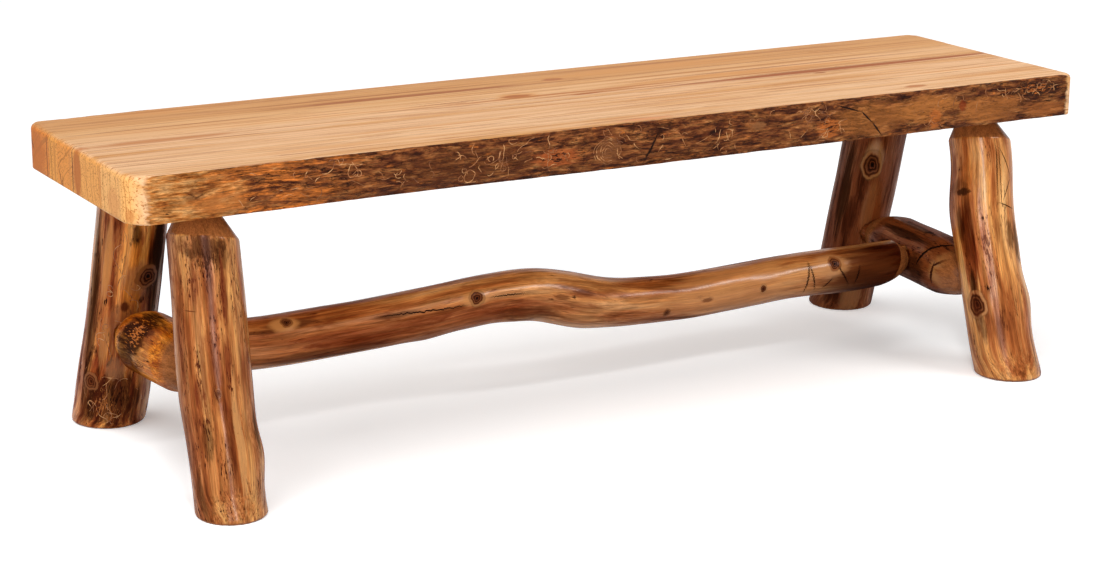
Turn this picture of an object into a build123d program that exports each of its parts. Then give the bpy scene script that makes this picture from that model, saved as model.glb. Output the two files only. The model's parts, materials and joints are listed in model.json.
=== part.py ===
from build123d import *
import os
from math import asin, cos, exp, pi, radians, sin, sqrt, tan

# Rustic log bench, in millimetres. The origin is on the floor under the middle of the seat.
# +X runs along the bench to its right end, -Y is the front, +Z is up.

# ---- Seat ----
seat_length = 1524.0
seat_depth = 406.4
seat_height = 457.2
seat_thickness = 63.5
top_rim_round = 8.0
lower_rim_round = 3.0
corner_front_left = 40.0
corner_front_right = 12.0
corner_rear_right = 24.0
corner_rear_left = 28.0
rear_edge_board_width = 96.2
narrow_board_width = 33.0
heart_board_width = 57.0
wide_board_width = 112.0

# ---- Natural edges of the two outer boards ----
edge_crown = 1.6                 # how far the middle of the edge stands proud of its rims
edge_stations = 25
# Along each edge: x, how far it lies inside the seat's depth, how far its lower rim is worn away.
edge_lines = {
    "front": [(-762.0, 1.5, 0.4), (-600.0, 1.6, 0.8), (-440.0, 0.8, 4.0), (-350.0, 1.0, 4.5),
              (-250.0, 1.6, 3.4), (-120.0, 1.4, 2.2), (0.0, 0.8, 1.4), (170.0, 1.6, 1.1),
              (330.0, 1.2, 0.5), (520.0, 0.8, 0.0), (762.0, 0.8, 0.0)],
    "rear": [(-762.0, 11.0, 0.0), (-690.0, 8.5, 0.3), (-610.0, 5.5, 0.6), (-500.0, 2.4, 1.2),
             (-360.0, 0.8, 1.6), (-160.0, 1.8, 0.6), (60.0, 0.8, 1.4), (260.0, 2.0, 0.5),
             (470.0, 0.8, 1.2), (640.0, 1.4, 0.4), (762.0, 0.8, 0.0)],
}

# ---- Legs ----
leg_inset_end = 121.0            # leg axis to the end of the seat, at the underside
leg_inset_side = 88.2            # leg axis to the long side of the seat, at the underside
front_leg_lean = 15.2            # degrees, towards the front
rear_leg_lean = 16.6             # degrees, towards the rear
end_lean = 1.6                   # degrees, towards the end of the bench
leg_tenon_diameter = 50.8
leg_tenon_depth = 45.0           # how far the tenon goes into the seat, along the leg
leg_cone_slope = 30.0            # degrees between the shaved cone and the leg's axis
foot_chamfer = 2.0

# ---- Stretchers ----
left_stretcher_rear_height = 150.0
left_stretcher_front_height = 173.5
right_stretcher_rear_height = 149.0
right_stretcher_front_height = 125.5
stretcher_tenon_diameter = 38.1
stretcher_tenon_depth = 55.0     # how far a tenon goes into the log that it meets
side_dome_radius = 48.0          # the rounded shoulders of the side stretchers
side_dome_length = 115.0
long_dome_radius = 40.0          # the rounded shoulders of the long stretcher
long_dome_length = 75.0
dome_points = 7                  # along the curve of a rounded shoulder

# ---- Joints ----
glue_line = 0.15                 # between a tenon and its mortise, all round
mortise_end_room = 2.0           # past the tenon's end
shoulder_gap = 0.3               # between a shoulder and the log that it comes up against

# ---- How the logs are drawn ----
outline_points = 16
section_spacing = 36.0           # along a log, about
knot_tightness = 6.0             # how narrow a knot's swelling is round the log
spare_sections = 2               # how many sections a log runs past its ends before it is cut
bore_overrun = 30.0              # how far a bore's cutter runs out of the wood
seam_turn = 37.0                 # degrees, keeps a turned surface's seam clear of the log's own seam

# Each leg, from the foot up: share of its height, diameter, bow towards +X.
leg_profiles = {
    "front_left_leg": [(0.0, 95.0, 5.2), (0.13, 94.6, 4.6), (0.28, 95.0, 2.6), (0.40, 98.4, 0.8),
                       (0.61, 97.6, 2.8), (0.78, 95.0, 4.4), (1.0, 93.5, 4.0)],
    "front_right_leg": [(0.0, 101.0, -3.5), (0.06, 99.5, -6.5), (0.17, 98.0, -8.3), (0.32, 98.0, -9.0),
                        (0.47, 96.5, -10.0), (0.60, 97.2, -9.0), (0.69, 97.5, -6.2), (0.727, 97.0, -3.4),
                        (0.78, 95.0, 1.8), (0.85, 94.0, 4.0), (1.0, 93.0, 5.5)],
    "rear_left_leg": [(0.0, 104.0, 2.0), (0.15, 106.5, 4.8), (0.32, 102.8, 6.2), (0.50, 100.0, 6.5),
                      (0.76, 100.0, 6.5), (1.0, 98.5, 6.0)],
    "rear_right_leg": [(0.0, 104.0, 4.0), (0.23, 101.5, 5.5), (0.45, 101.5, 5.2), (0.76, 101.0, 4.6),
                       (1.0, 99.5, 4.0)],
}
# Each side stretcher, from the rear leg to the front one: share of its length, diameter, rise.
side_profiles = {
    "left_side_stretcher": [(0.0, 85.0, 0.0), (0.3, 89.5, 1.5), (0.65, 90.0, 1.5), (1.0, 87.0, 0.0)],
    "right_side_stretcher": [(0.0, 88.0, 0.0), (0.35, 91.5, -0.5), (0.7, 92.0, 0.5), (1.0, 88.0, 1.0)],
}
# The long stretcher, from its left end: share of its length, diameter, rise above the line of its ends.
long_profile = [(0.0, 74.0, -1.0), (0.07, 74.0, -3.4), (0.13, 74.6, -4.2), (0.26, 74.2, 4.4),
                (0.36, 74.0, 15.2), (0.40, 74.0, 18.4), (0.43, 76.0, 18.2), (0.464, 82.0, 10.4),
                (0.50, 84.0, -0.8), (0.535, 77.0, -9.3), (0.572, 71.9, -13.7), (0.646, 70.3, -16.3),
                (0.72, 69.5, -11.8), (0.80, 69.7, -6.3), (0.88, 72.0, -6.5), (0.95, 69.2, -3.6),
                (1.0, 66.0, -2.2)]
# Swellings over knots: share of the length, direction round the log in degrees, height, half length.
# A log's direction 0 is the way of its bow or rise, and 90 is a quarter turn on by the right-hand rule.
knots = {
    "front_left_leg": [(0.185, -30.0, 4.4, 13.0)],
    "front_right_leg": [(0.595, 150.0, 4.6, 20.0), (0.26, -30.0, 5.0, 26.0)],
    "rear_left_leg": [(0.15, -110.0, 4.0, 28.0)],
    "rear_right_leg": [(0.62, 235.0, 3.0, 30.0)],
    "left_side_stretcher": [(0.3, 100.0, 4.0, 22.0)],
    "right_side_stretcher": [(0.7, 70.0, 3.0, 24.0)],
    "long_stretcher": [(0.313, 180.0, 3.5, 18.0), (0.42, 130.0, 6.0, 11.0), (0.76, 90.0, 2.5, 20.0)],
}

# ---- Worked out from the sizes above ----
underside = seat_height - seat_thickness
spare_stock = spare_sections * section_spacing
half_length = seat_length / 2
half_depth = seat_depth / 2
rear_seam = half_depth - rear_edge_board_width
narrow_seam = rear_seam - narrow_board_width
heart_seam = narrow_seam - heart_board_width
front_seam = heart_seam - wide_board_width
leg_tenon_radius = leg_tenon_diameter / 2
stretcher_tenon_radius = stretcher_tenon_diameter / 2
lean_of = {-1: front_leg_lean, 1: rear_leg_lean}
legs = {"front_left_leg": (-1, -1), "front_right_leg": (1, -1),
        "rear_left_leg": (-1, 1), "rear_right_leg": (1, 1)}


# ---- The lines that the logs lie on ----

def leg_axis(side, face):
    """Unit direction of a leg from its foot up; side is -1 left, face is -1 front."""
    return Vector(-side * tan(radians(end_lean)), -face * tan(radians(lean_of[face])), 1).normalized()


def leg_point(side, face, height):
    """The point of a leg's axis at a height above the floor."""
    axis = leg_axis(side, face)
    top = Vector(side * (half_length - leg_inset_end), face * (half_depth - leg_inset_side), underside)
    return top + axis * ((height - underside) / axis.Z)


def side_ends(side):
    """Where a side stretcher's axis meets the axes of its rear leg and its front leg."""
    heights = {-1: (left_stretcher_rear_height, left_stretcher_front_height),
               1: (right_stretcher_rear_height, right_stretcher_front_height)}[side]
    return leg_point(side, 1, heights[0]), leg_point(side, -1, heights[1])


def side_middle(side):
    """Where the long stretcher's axis meets a side stretcher's, over the bench's centre line."""
    rear, front = side_ends(side)
    return rear + (front - rear) * (rear.Y / (rear.Y - front.Y))


# ---- Logs ----

def profile_at(profile, share, column):
    """A profile's value at a share of the length, on a smooth curve through its rows."""
    place = max([index for index, row in enumerate(profile[:-1]) if row[0] <= share], default=0)
    before, low = profile[max(place - 1, 0)], profile[place]
    high, after = profile[place + 1], profile[min(place + 2, len(profile) - 1)]
    run = high[0] - low[0]
    part = min(max((share - low[0]) / run, 0.0), 1.0)
    slope_low = (high[column] - before[column]) / (high[0] - before[0]) * run
    slope_high = (after[column] - low[column]) / (after[0] - low[0]) * run
    climb = high[column] - low[column]
    return (low[column] + slope_low * part + (3 * climb - 2 * slope_low - slope_high) * part ** 2
            + (slope_low + slope_high - 2 * climb) * part ** 3)


def log_reach(name, profile, share, length, angle):
    """A log's radius in one direction, its knots' swellings included."""
    reach = profile_at(profile, share, 1) / 2
    for knot_share, direction, height, knot_reach in knots[name]:
        off_along = (share - knot_share) * length / knot_reach
        off_round = (1 - cos(angle - radians(direction))) * knot_tightness
        reach += height * exp(-off_along ** 2 - off_round)
    return reach


def log(name, start, end, profile, bow):
    """A round log from start to end and a little past both: its profile's diameters and bow."""
    length = (end - start).length
    along = (end - start).normalized()
    across = Plane(origin=start, x_dir=bow - along * bow.dot(along), z_dir=along)
    spaces = round(length / section_spacing)
    wires = []
    for section in range(-spare_sections, spaces + spare_sections + 1):
        share = section / spaces
        offset = profile_at(profile, share, 2)
        points = []
        for step in range(outline_points):
            angle = 2 * pi * step / outline_points
            reach = log_reach(name, profile, share, length, angle)
            points.append(across.from_local_coords(
                Vector(offset + reach * cos(angle), reach * sin(angle), share * length)))
        wires.append(Wire([Edge.make_spline(points, periodic=True)]))
    return Solid.make_loft(wires)


# ---- What the tenon cutter leaves ----

def turned(tip, inward, edges):
    """A solid turned about the axis that runs from tip inward; edges bound its half section."""
    spun = revolve(Plane.XZ * make_face(edges), Axis.Z, 360)
    return Plane(origin=tip, z_dir=inward) * (Rot(0, 0, seam_turn) * spun)


def cone_shoulder(radius, tenon, widest, far):
    """Half section left by a straight blade: tenon, cone, then the whole log as far as far."""
    cone_end = tenon + (widest - radius) / tan(radians(leg_cone_slope))
    return Polyline((0, 0), (radius, 0), (radius, tenon), (widest, cone_end), (widest, far), (0, far),
                    close=True).edges()


def dome_shoulder(radius, tenon, dome, depth, far):
    """Half section left by a curved blade: tenon, dome, then the whole log as far as far."""
    first = asin(radius / dome)
    turns = [first + (pi / 2 - first) * point / (dome_points - 1) for point in range(dome_points)]
    curve = [(dome * sin(turn), tenon + depth * (cos(first) - cos(turn))) for turn in turns]
    end = curve[-1][1]
    before = Polyline((0, 0), (radius, 0), (radius, tenon)).edges()
    after = Polyline((dome, end), (2 * dome, end), (2 * dome, far), (0, far), (0, 0)).edges()
    return [*before, Spline(curve).edge(), *after]


def bore(tip, outward, radius, depth):
    """The cutter for a blind mortise: from past the tenon's tip, outward, clear of the wood."""
    start = tip - outward * mortise_end_room
    drill = Cylinder(radius + glue_line, depth + mortise_end_room + bore_overrun,
                     align=(Align.CENTER, Align.CENTER, Align.MIN))
    return Plane(origin=start, z_dir=outward) * drill


# ---- Where each tenon ends ----

def shoulder_distance(log_radius, log_axis, run):
    """From a log's axis, along a stretcher, to where the stretcher's shoulder comes up to it."""
    slant = abs(log_axis.dot(run))
    upright = sqrt(1 - slant ** 2)
    return (log_radius + stretcher_tenon_radius * slant) / upright + shoulder_gap


def side_tenon(side, face):
    """A side stretcher's tenon at one leg: its tip and the direction from there along the stretcher."""
    rear, front = side_ends(side)
    node = [name for name, place in legs.items() if place == (side, face)][0]
    start, other = (rear, front) if face == 1 else (front, rear)
    run = (other - start).normalized()
    leg_length = (leg_point(side, face, underside) - leg_point(side, face, 0)).length
    reach = log_reach(node, leg_profiles[node], start.Z / underside, leg_length, -face * pi / 2)
    shoulder = shoulder_distance(reach, leg_axis(side, face), run)
    return start + run * (shoulder - stretcher_tenon_depth), run


def long_tenon(side):
    """The long stretcher's tenon at one side stretcher: its tip and the direction from there."""
    start, other = side_middle(side), side_middle(-side)
    run = (other - start).normalized()
    rear, front = side_ends(side)
    node = "left_side_stretcher" if side == -1 else "right_side_stretcher"
    length = (front - rear).length
    reach = log_reach(node, side_profiles[node], (start - rear).length / length, length, side * pi / 2)
    shoulder = shoulder_distance(reach, (front - rear).normalized(), run)
    return start + run * (shoulder - stretcher_tenon_depth), run


# ---- Legs and stretchers ----

def make_leg(name):
    """A leg: a log with its foot cut flat, its top shaved to a tenon and a mortise at the stretcher."""
    side, face = legs[name]
    axis = leg_axis(side, face)
    top = leg_point(side, face, underside)
    profile = leg_profiles[name]
    stock = log(name, leg_point(side, face, 0), top, profile, Vector(1, 0, 0))
    widest = max(row[1] for row in profile)
    slant = sqrt(1 - axis.Z ** 2) / axis.Z
    tenon = leg_tenon_depth + leg_tenon_radius * slant + shoulder_gap
    shaved = turned(top + axis * leg_tenon_depth, axis * -1,
                    cone_shoulder(leg_tenon_radius, tenon, widest, seat_height + 2 * spare_stock))
    leg = stock & shaved
    leg -= Pos(top.X, top.Y, 0) * Box(4 * seat_depth, 4 * seat_depth, 2 * spare_stock,
                                      align=(Align.CENTER, Align.CENTER, Align.MAX))
    leg = chamfer(leg.faces().sort_by(Axis.Z)[0].edges(), foot_chamfer)
    tip, run = side_tenon(side, face)
    return leg - bore(tip, run, stretcher_tenon_radius, stretcher_tenon_depth)


def make_stretcher(name, profile, start, end, tenons, dome, depth):
    """A stretcher: a log with a tenon and a rounded shoulder at each end."""
    stretcher = log(name, start, end, profile, Vector(0, 0, 1))
    far = (end - start).length + 2 * spare_stock
    for tip, run in tenons:
        section = dome_shoulder(stretcher_tenon_radius, stretcher_tenon_depth, dome, depth, far)
        stretcher &= turned(tip, run, section)
    return stretcher


def make_side_stretcher(name, side):
    """A side stretcher, with a mortise in its inner side for the long stretcher."""
    rear, front = side_ends(side)
    tenons = [side_tenon(side, 1), side_tenon(side, -1)]
    stretcher = make_stretcher(name, side_profiles[name], rear, front, tenons,
                               side_dome_radius, side_dome_length)
    tip, run = long_tenon(side)
    return stretcher - bore(tip, run, stretcher_tenon_radius, stretcher_tenon_depth)


def make_long_stretcher():
    """The bent long stretcher between the two side stretchers."""
    tenons = [long_tenon(-1), long_tenon(1)]
    return make_stretcher("long_stretcher", long_profile, side_middle(-1), side_middle(1), tenons,
                          long_dome_radius, long_dome_length)


# ---- Seat ----

def seat_blank():
    """The whole seat's outer shape: its four corners rounded in plan, its rims rounded over."""
    corners = {(-1, -1): corner_front_left, (1, -1): corner_front_right,
               (1, 1): corner_rear_right, (-1, 1): corner_rear_left}
    outline = Rectangle(seat_length, seat_depth)
    for (side, face), radius in corners.items():
        corner = Vector(side * half_length, face * half_depth, 0)
        nearest = outline.vertices().sort_by_distance(corner)[0]
        outline = fillet(nearest, radius)
    blank = extrude(Plane.XY.offset(underside) * outline, seat_thickness)
    smallest = 0.9 * min(corners.values())
    blank = fillet(blank.faces().sort_by(Axis.Z)[-1].edges(), min(top_rim_round, smallest))
    return fillet(blank.faces().sort_by(Axis.Z)[0].edges(), min(lower_rim_round, smallest))


def bark_side(face):
    """What lies inside the tree's own surface along one long side of the seat."""
    line = edge_lines["front" if face == -1 else "rear"]
    wires = []
    for station in range(edge_stations):
        x = (station / (edge_stations - 1) - 0.5) * (seat_length + 2 * spare_stock)
        rim = half_depth - profile_at(line, x, 1)
        worn = profile_at(line, x, 2)
        curve = [(rim - 2 * edge_crown - 4 * worn, underside - seat_thickness / 5),
                 (rim - edge_crown - 1.8 * worn, underside),
                 (rim - edge_crown / 3 - worn / 3, underside + seat_thickness / 5 + worn),
                 (rim, underside + seat_thickness / 2),
                 (rim - edge_crown / 3, seat_height - seat_thickness / 5),
                 (rim - edge_crown, seat_height),
                 (rim - 2 * edge_crown, seat_height + seat_thickness / 5)]
        points = [Vector(x, face * y, z) for y, z in curve]
        back = [Vector(x, 0, points[-1].Z), Vector(x, 0, points[0].Z)]
        wires.append(Wire([Edge.make_spline(points), Edge.make_line(points[-1], back[0]),
                           Edge.make_line(*back), Edge.make_line(back[1], points[0])]))
    return Solid.make_loft(wires)


def sawn_board(front, rear):
    """A board's stock, sawn on both long edges."""
    return Pos(0, front, underside) * Box(seat_length, rear - front, seat_thickness,
                                          align=(Align.CENTER, Align.MIN, Align.MIN))


def make_seat_boards():
    """The boards of the glued-up seat, shaped together and bored for the four leg tenons."""
    stocks = {
        "rear_edge_board": sawn_board(rear_seam, half_depth),
        "narrow_board": sawn_board(narrow_seam, rear_seam),
        "heart_board": sawn_board(heart_seam, narrow_seam),
        "wide_board": sawn_board(front_seam, heart_seam),
        "front_edge_board": sawn_board(-half_depth, front_seam),
    }
    blank = seat_blank()
    for side, face in legs.values():
        axis = leg_axis(side, face)
        tip = leg_point(side, face, underside) + axis * leg_tenon_depth
        blank -= bore(tip, axis * -1, leg_tenon_radius, leg_tenon_depth)
    boards = {name: blank & stock for name, stock in stocks.items()}
    boards["rear_edge_board"] &= bark_side(1)
    boards["front_edge_board"] &= bark_side(-1)
    return boards


nodes = make_seat_boards()
for leg_name in legs:
    nodes[leg_name] = make_leg(leg_name)
nodes["left_side_stretcher"] = make_side_stretcher("left_side_stretcher", -1)
nodes["right_side_stretcher"] = make_side_stretcher("right_side_stretcher", 1)
nodes["long_stretcher"] = make_long_stretcher()

os.makedirs("parts", exist_ok=True)
for node_name, node in nodes.items():
    export_step(node, f"parts/{node_name}.step")
    print(node_name, "solids", len(node.solids()), "volume", round(node.volume))
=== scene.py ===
import json
import math
import random

import bpy
import numpy as np
from mathutils import Matrix, Vector, noise

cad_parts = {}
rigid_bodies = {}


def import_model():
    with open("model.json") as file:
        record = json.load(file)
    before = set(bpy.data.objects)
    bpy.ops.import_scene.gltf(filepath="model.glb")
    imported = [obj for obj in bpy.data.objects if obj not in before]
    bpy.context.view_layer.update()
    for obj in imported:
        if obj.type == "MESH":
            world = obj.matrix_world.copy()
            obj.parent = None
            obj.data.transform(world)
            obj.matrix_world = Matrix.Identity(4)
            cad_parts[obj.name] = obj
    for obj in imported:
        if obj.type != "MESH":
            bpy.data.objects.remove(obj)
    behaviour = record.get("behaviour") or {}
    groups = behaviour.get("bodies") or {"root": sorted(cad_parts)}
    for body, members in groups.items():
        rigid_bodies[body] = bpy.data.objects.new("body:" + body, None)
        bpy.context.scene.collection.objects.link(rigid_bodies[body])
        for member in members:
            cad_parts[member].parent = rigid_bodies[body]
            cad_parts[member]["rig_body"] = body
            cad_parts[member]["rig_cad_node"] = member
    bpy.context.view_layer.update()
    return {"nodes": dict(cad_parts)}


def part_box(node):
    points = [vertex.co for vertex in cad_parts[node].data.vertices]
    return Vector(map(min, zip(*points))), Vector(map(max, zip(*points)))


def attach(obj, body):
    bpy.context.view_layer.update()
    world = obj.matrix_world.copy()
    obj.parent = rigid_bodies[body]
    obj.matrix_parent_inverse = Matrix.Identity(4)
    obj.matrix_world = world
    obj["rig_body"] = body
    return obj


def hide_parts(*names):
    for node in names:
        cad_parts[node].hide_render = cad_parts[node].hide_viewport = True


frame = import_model()
mm = 0.001
print("frame loaded:", len(frame["nodes"]), "nodes")

cameraView = {
    "place": (-1.8508, -3.1787, 1.1831),    # metres
    "turnRight": 29.778,                    # degrees from straight along the depth of the bench
    "tiltDown": 15.308,                     # degrees
    "roll": 0.382,                          # degrees
    "lens": 83.11,                          # mm, on a sensor 36 mm wide
}


def addCamera(view):
    data = bpy.data.cameras.new("benchCamera")
    data.lens = view["lens"]
    data.sensor_width = 36.0
    camera = bpy.data.objects.new("benchCamera", data)
    bpy.context.scene.collection.objects.link(camera)
    camera.matrix_world = (Matrix.Translation(view["place"])
                           @ Matrix.Rotation(math.radians(-view["turnRight"]), 4, "Z")
                           @ Matrix.Rotation(math.radians(90 - view["tiltDown"]), 4, "X")
                           @ Matrix.Rotation(math.radians(view["roll"]), 4, "Z"))
    bpy.context.scene.camera = camera


def hexColor(text):
    # an sRGB hex colour as the linear numbers that the nodes want
    values = [int(text[place:place + 2], 16) / 255 for place in (0, 2, 4)]
    return [v / 12.92 if v <= 0.04045 else ((v + 0.055) / 1.055) ** 2.4 for v in values] + [1.0]


def addNode(tree, kind, settings=None, links=None):
    # settings and links are keyed by a socket's name or number, or a node's own setting
    node = tree.nodes.new(kind)
    for key, value in (settings or {}).items():
        if key == "stops":
            ramp = node.color_ramp.elements
            for number, (position, color) in enumerate(value):
                stop = ramp[number] if number < 2 else ramp.new(position)
                stop.position = position
                stop.color = hexColor(color)
        elif isinstance(key, int) or key in node.inputs:
            node.inputs[key].default_value = value
        else:
            setattr(node, key, value)
    for key, source in (links or {}).items():
        tree.links.new(source.outputs[0] if isinstance(source, bpy.types.Node) else source, node.inputs[key])
    return node


def newTree(name):
    material = bpy.data.materials.new(name)
    material.use_nodes = True
    material.node_tree.nodes.clear()
    return material, material.node_tree


def millimeterPlace(tree):
    # the place on an unmoved object in mm, the unit that every pattern's size is given in
    meters = addNode(tree, "ShaderNodeTexCoord").outputs["Object"]
    scaled = addNode(tree, "ShaderNodeVectorMath", {"operation": "SCALE", "Scale": 1 / mm}, {0: meters})
    return scaled.outputs[0]


stageLook = {
    "floorSize": 40,          # metres
    "floorColor": "B4B4B4",   # the paint that lights the bench's underside
    "seenFloor": "F8F8F8",    # the paint that shows
    "floorLift": 0.27,        # brings the seen paint up to white wherever no shadow falls
    "worldLight": 0.2,        # the light that the room gives from all sides
}


def seenRays(tree):
    # 1 for the rays that look at the background: straight, in a reflection or through something
    rays = addNode(tree, "ShaderNodeLightPath")
    mirrored = addNode(tree, "ShaderNodeMath", {"operation": "MAXIMUM"},
                       {0: rays.outputs["Is Camera Ray"], 1: rays.outputs["Is Glossy Ray"]})
    return addNode(tree, "ShaderNodeMath", {"operation": "MAXIMUM"},
                   {0: mirrored, 1: rays.outputs["Is Transmission Ray"]})


def addStage(look):
    bpy.ops.mesh.primitive_plane_add(size=look["floorSize"], location=(0, 0, 0))
    floor = bpy.context.active_object
    floor.name = "studioFloor"
    material, tree = newTree("matte white studio floor")
    paint = addNode(tree, "ShaderNodeBsdfDiffuse", {"Color": hexColor(look["floorColor"])})
    shown = addNode(tree, "ShaderNodeBsdfDiffuse", {"Color": hexColor(look["seenFloor"])})
    lift = addNode(tree, "ShaderNodeEmission", {"Strength": look["floorLift"]})
    both = addNode(tree, "ShaderNodeAddShader", {}, {0: shown, 1: lift})
    onlySeen = addNode(tree, "ShaderNodeMixShader", {}, {"Fac": seenRays(tree), 1: paint, 2: both})
    addNode(tree, "ShaderNodeOutputMaterial", {}, {"Surface": onlySeen})
    floor.data.materials.append(material)
    world = bpy.data.worlds.new("studioWorld")
    world.use_nodes = True
    bpy.context.scene.world = world
    tree = world.node_tree
    tree.nodes.clear()
    lit = addNode(tree, "ShaderNodeBackground", {"Strength": look["worldLight"], "Color": (1, 1, 1, 1)})
    white = addNode(tree, "ShaderNodeBackground", {"Strength": 1.0, "Color": (1, 1, 1, 1)})
    sky = addNode(tree, "ShaderNodeMixShader", {}, {"Fac": seenRays(tree), 1: lit, 2: white})
    addNode(tree, "ShaderNodeOutputWorld", {}, {"Surface": sky})
    bpy.context.scene.view_settings.view_transform = "Standard"


# Places, aims and sizes are in metres, spread in degrees. Without glare a lamp leaves no gloss.
lamps = {
    # the soft light of a white ceiling, which lays the shadow under the bench
    "ceilingGlow": {"kind": "SUN", "place": (-0.42, -0.02, 1.0), "aim": (0, 0, 0), "spread": 50,
                    "power": 1.9, "glare": False},
    # opens up the seat's left end and the left legs
    "leftGlow": {"kind": "AREA", "place": (-2.4, -1.0, 0.9), "aim": (-0.6, 0, 0.3), "size": (1.2, 1.2),
                 "power": 15, "glare": False},
    # a long, narrow soft box that leaves a line of gloss along the long stretcher
    "longBox": {"kind": "AREA", "place": (1.85, -1.9, 2.05), "aim": (1.85, 0, 0.2), "size": (1.5, 0.26),
                "power": 34},
    # a tall, narrow soft box that lights the fronts and leaves gloss down the front legs
    "frontBox": {"kind": "AREA", "place": (-1.15, -2.6, 1.3), "aim": (0, 0, 0.3), "size": (0.46, 2.0),
                 "power": 53},
}


def addLamps(lamps):
    for name, look in lamps.items():
        data = bpy.data.lights.new(name, look["kind"])
        lamp = bpy.data.objects.new(name, data)
        lamp.visible_glossy = look.get("glare", True)
        data.energy = look["power"]
        if look["kind"] == "SUN":
            data.angle = math.radians(look["spread"])
        else:
            data.shape = "RECTANGLE"
            data.size, data.size_y = look["size"]
        bpy.context.scene.collection.objects.link(lamp)
        lamp.location = look["place"]
        way = Vector(look["aim"]) - Vector(look["place"])
        lamp.rotation_euler = way.to_track_quat("-Z", "Y").to_euler()


addCamera(cameraView)
addStage(stageLook)
addLamps(lamps)
print("camera, floor and lamps placed")

# Knots, cracks, blotches and flecks, shared by every wood. Each reads a place in its own frame:
# X out of the wood in mm, Y across the grain and Z along it.


def newGroup(name, inputs, outputs):
    group = bpy.data.node_groups.new(name, "ShaderNodeTree")
    for socket, kind in inputs.items():
        group.interface.new_socket(socket, in_out="INPUT", socket_type=kind)
    for socket, kind in outputs.items():
        group.interface.new_socket(socket, in_out="OUTPUT", socket_type=kind)
    return group, addNode(group, "NodeGroupInput")


def middleDistance(group, place):
    # the place laid flat on the wood, and how far it is from the figure's middle
    flat = addNode(group, "ShaderNodeVectorMath", {"operation": "MULTIPLY", 1: (0, 1, 1)}, {0: place})
    away = addNode(group, "ShaderNodeVectorMath", {"operation": "LENGTH"}, {0: flat})
    return flat, away.outputs["Value"]


def onOwnSide(group, place, share, fade):
    # keeps a figure off the far side of its log or board: it comes in over this span of mm outwards
    parts = addNode(group, "ShaderNodeSeparateXYZ", {}, {0: place})
    outward = addNode(group, "ShaderNodeMapRange", {"From Min": fade[0], "From Max": fade[1]},
                      {"Value": parts})
    return addNode(group, "ShaderNodeMath", {"operation": "MULTIPLY"}, {0: share, 1: outward})


def knotFigure():
    # a sawn or peeled branch: dark heart, fine rings and a pale collar, in units of its own half size
    group, given = newGroup("knotFigure", {"Place": "NodeSocketVector", "Collar": "NodeSocketColor"},
                            {"Mask": "NodeSocketFloat", "Color": "NodeSocketColor",
                             "Height": "NodeSocketFloat"})
    flat, away = middleDistance(group, given.outputs["Place"])
    ragged = addNode(group, "ShaderNodeTexNoise", {"Scale": 1.7, "Detail": 3.0}, {"Vector": flat})
    distance = addNode(group, "ShaderNodeMath", {"operation": "MULTIPLY_ADD", 1: 0.45}, {0: ragged, 2: away})
    inside = addNode(group, "ShaderNodeMapRange",
                     {"From Min": 1.0, "From Max": 1.28, "To Min": 1.0, "To Max": 0.0,
                      "interpolation_type": "SMOOTHSTEP"}, {"Value": distance})
    mask = onOwnSide(group, given.outputs["Place"], inside, (4.0, 10.0))
    color = addNode(group, "ShaderNodeValToRGB", {"stops": [
        (0.28, "120804"), (0.38, "32150A"), (0.44, "703618"), (0.52, "1E0C05"),
        (0.60, "52250F"), (0.70, "74401F"), (0.80, "421C0C"), (0.90, "7A4522")]}, {"Fac": distance})
    rings = addNode(group, "ShaderNodeMath", {"operation": "MULTIPLY", 1: 30.0}, {0: distance})
    wave = addNode(group, "ShaderNodeMath", {"operation": "SINE"}, {0: rings})
    shade = addNode(group, "ShaderNodeMapRange", {"From Min": -1.0, "To Min": 0.72, "To Max": 1.0},
                    {"Value": wave})
    outer = addNode(group, "ShaderNodeMapRange", {"From Min": 0.88, "From Max": 0.97}, {"Value": distance})
    collared = addNode(group, "ShaderNodeMixRGB", {},
                       {"Fac": outer, "Color1": color, "Color2": given.outputs["Collar"]})
    ringed = addNode(group, "ShaderNodeMixRGB", {"blend_type": "MULTIPLY", "Fac": 1.0},
                     {"Color1": collared, "Color2": shade})
    # a dark line where the bark has grown in round the branch
    rim = addNode(group, "ShaderNodeMapRange",
                  {"From Min": 1.02, "From Max": 1.14, "To Min": 1.0, "To Max": 0.3}, {"Value": distance})
    rimmed = addNode(group, "ShaderNodeMixRGB", {"blend_type": "MULTIPLY", "Fac": 1.0},
                     {"Color1": ringed, "Color2": rim})
    dish = addNode(group, "ShaderNodeMapRange",
                   {"From Min": 0.25, "From Max": 0.6, "To Min": -1.0, "To Max": 0.3}, {"Value": distance})
    height = addNode(group, "ShaderNodeMath", {"operation": "MULTIPLY"}, {0: dish, 1: mask})
    addNode(group, "NodeGroupOutput", {}, {"Mask": mask, "Color": rimmed, "Height": height})
    return group


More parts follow.
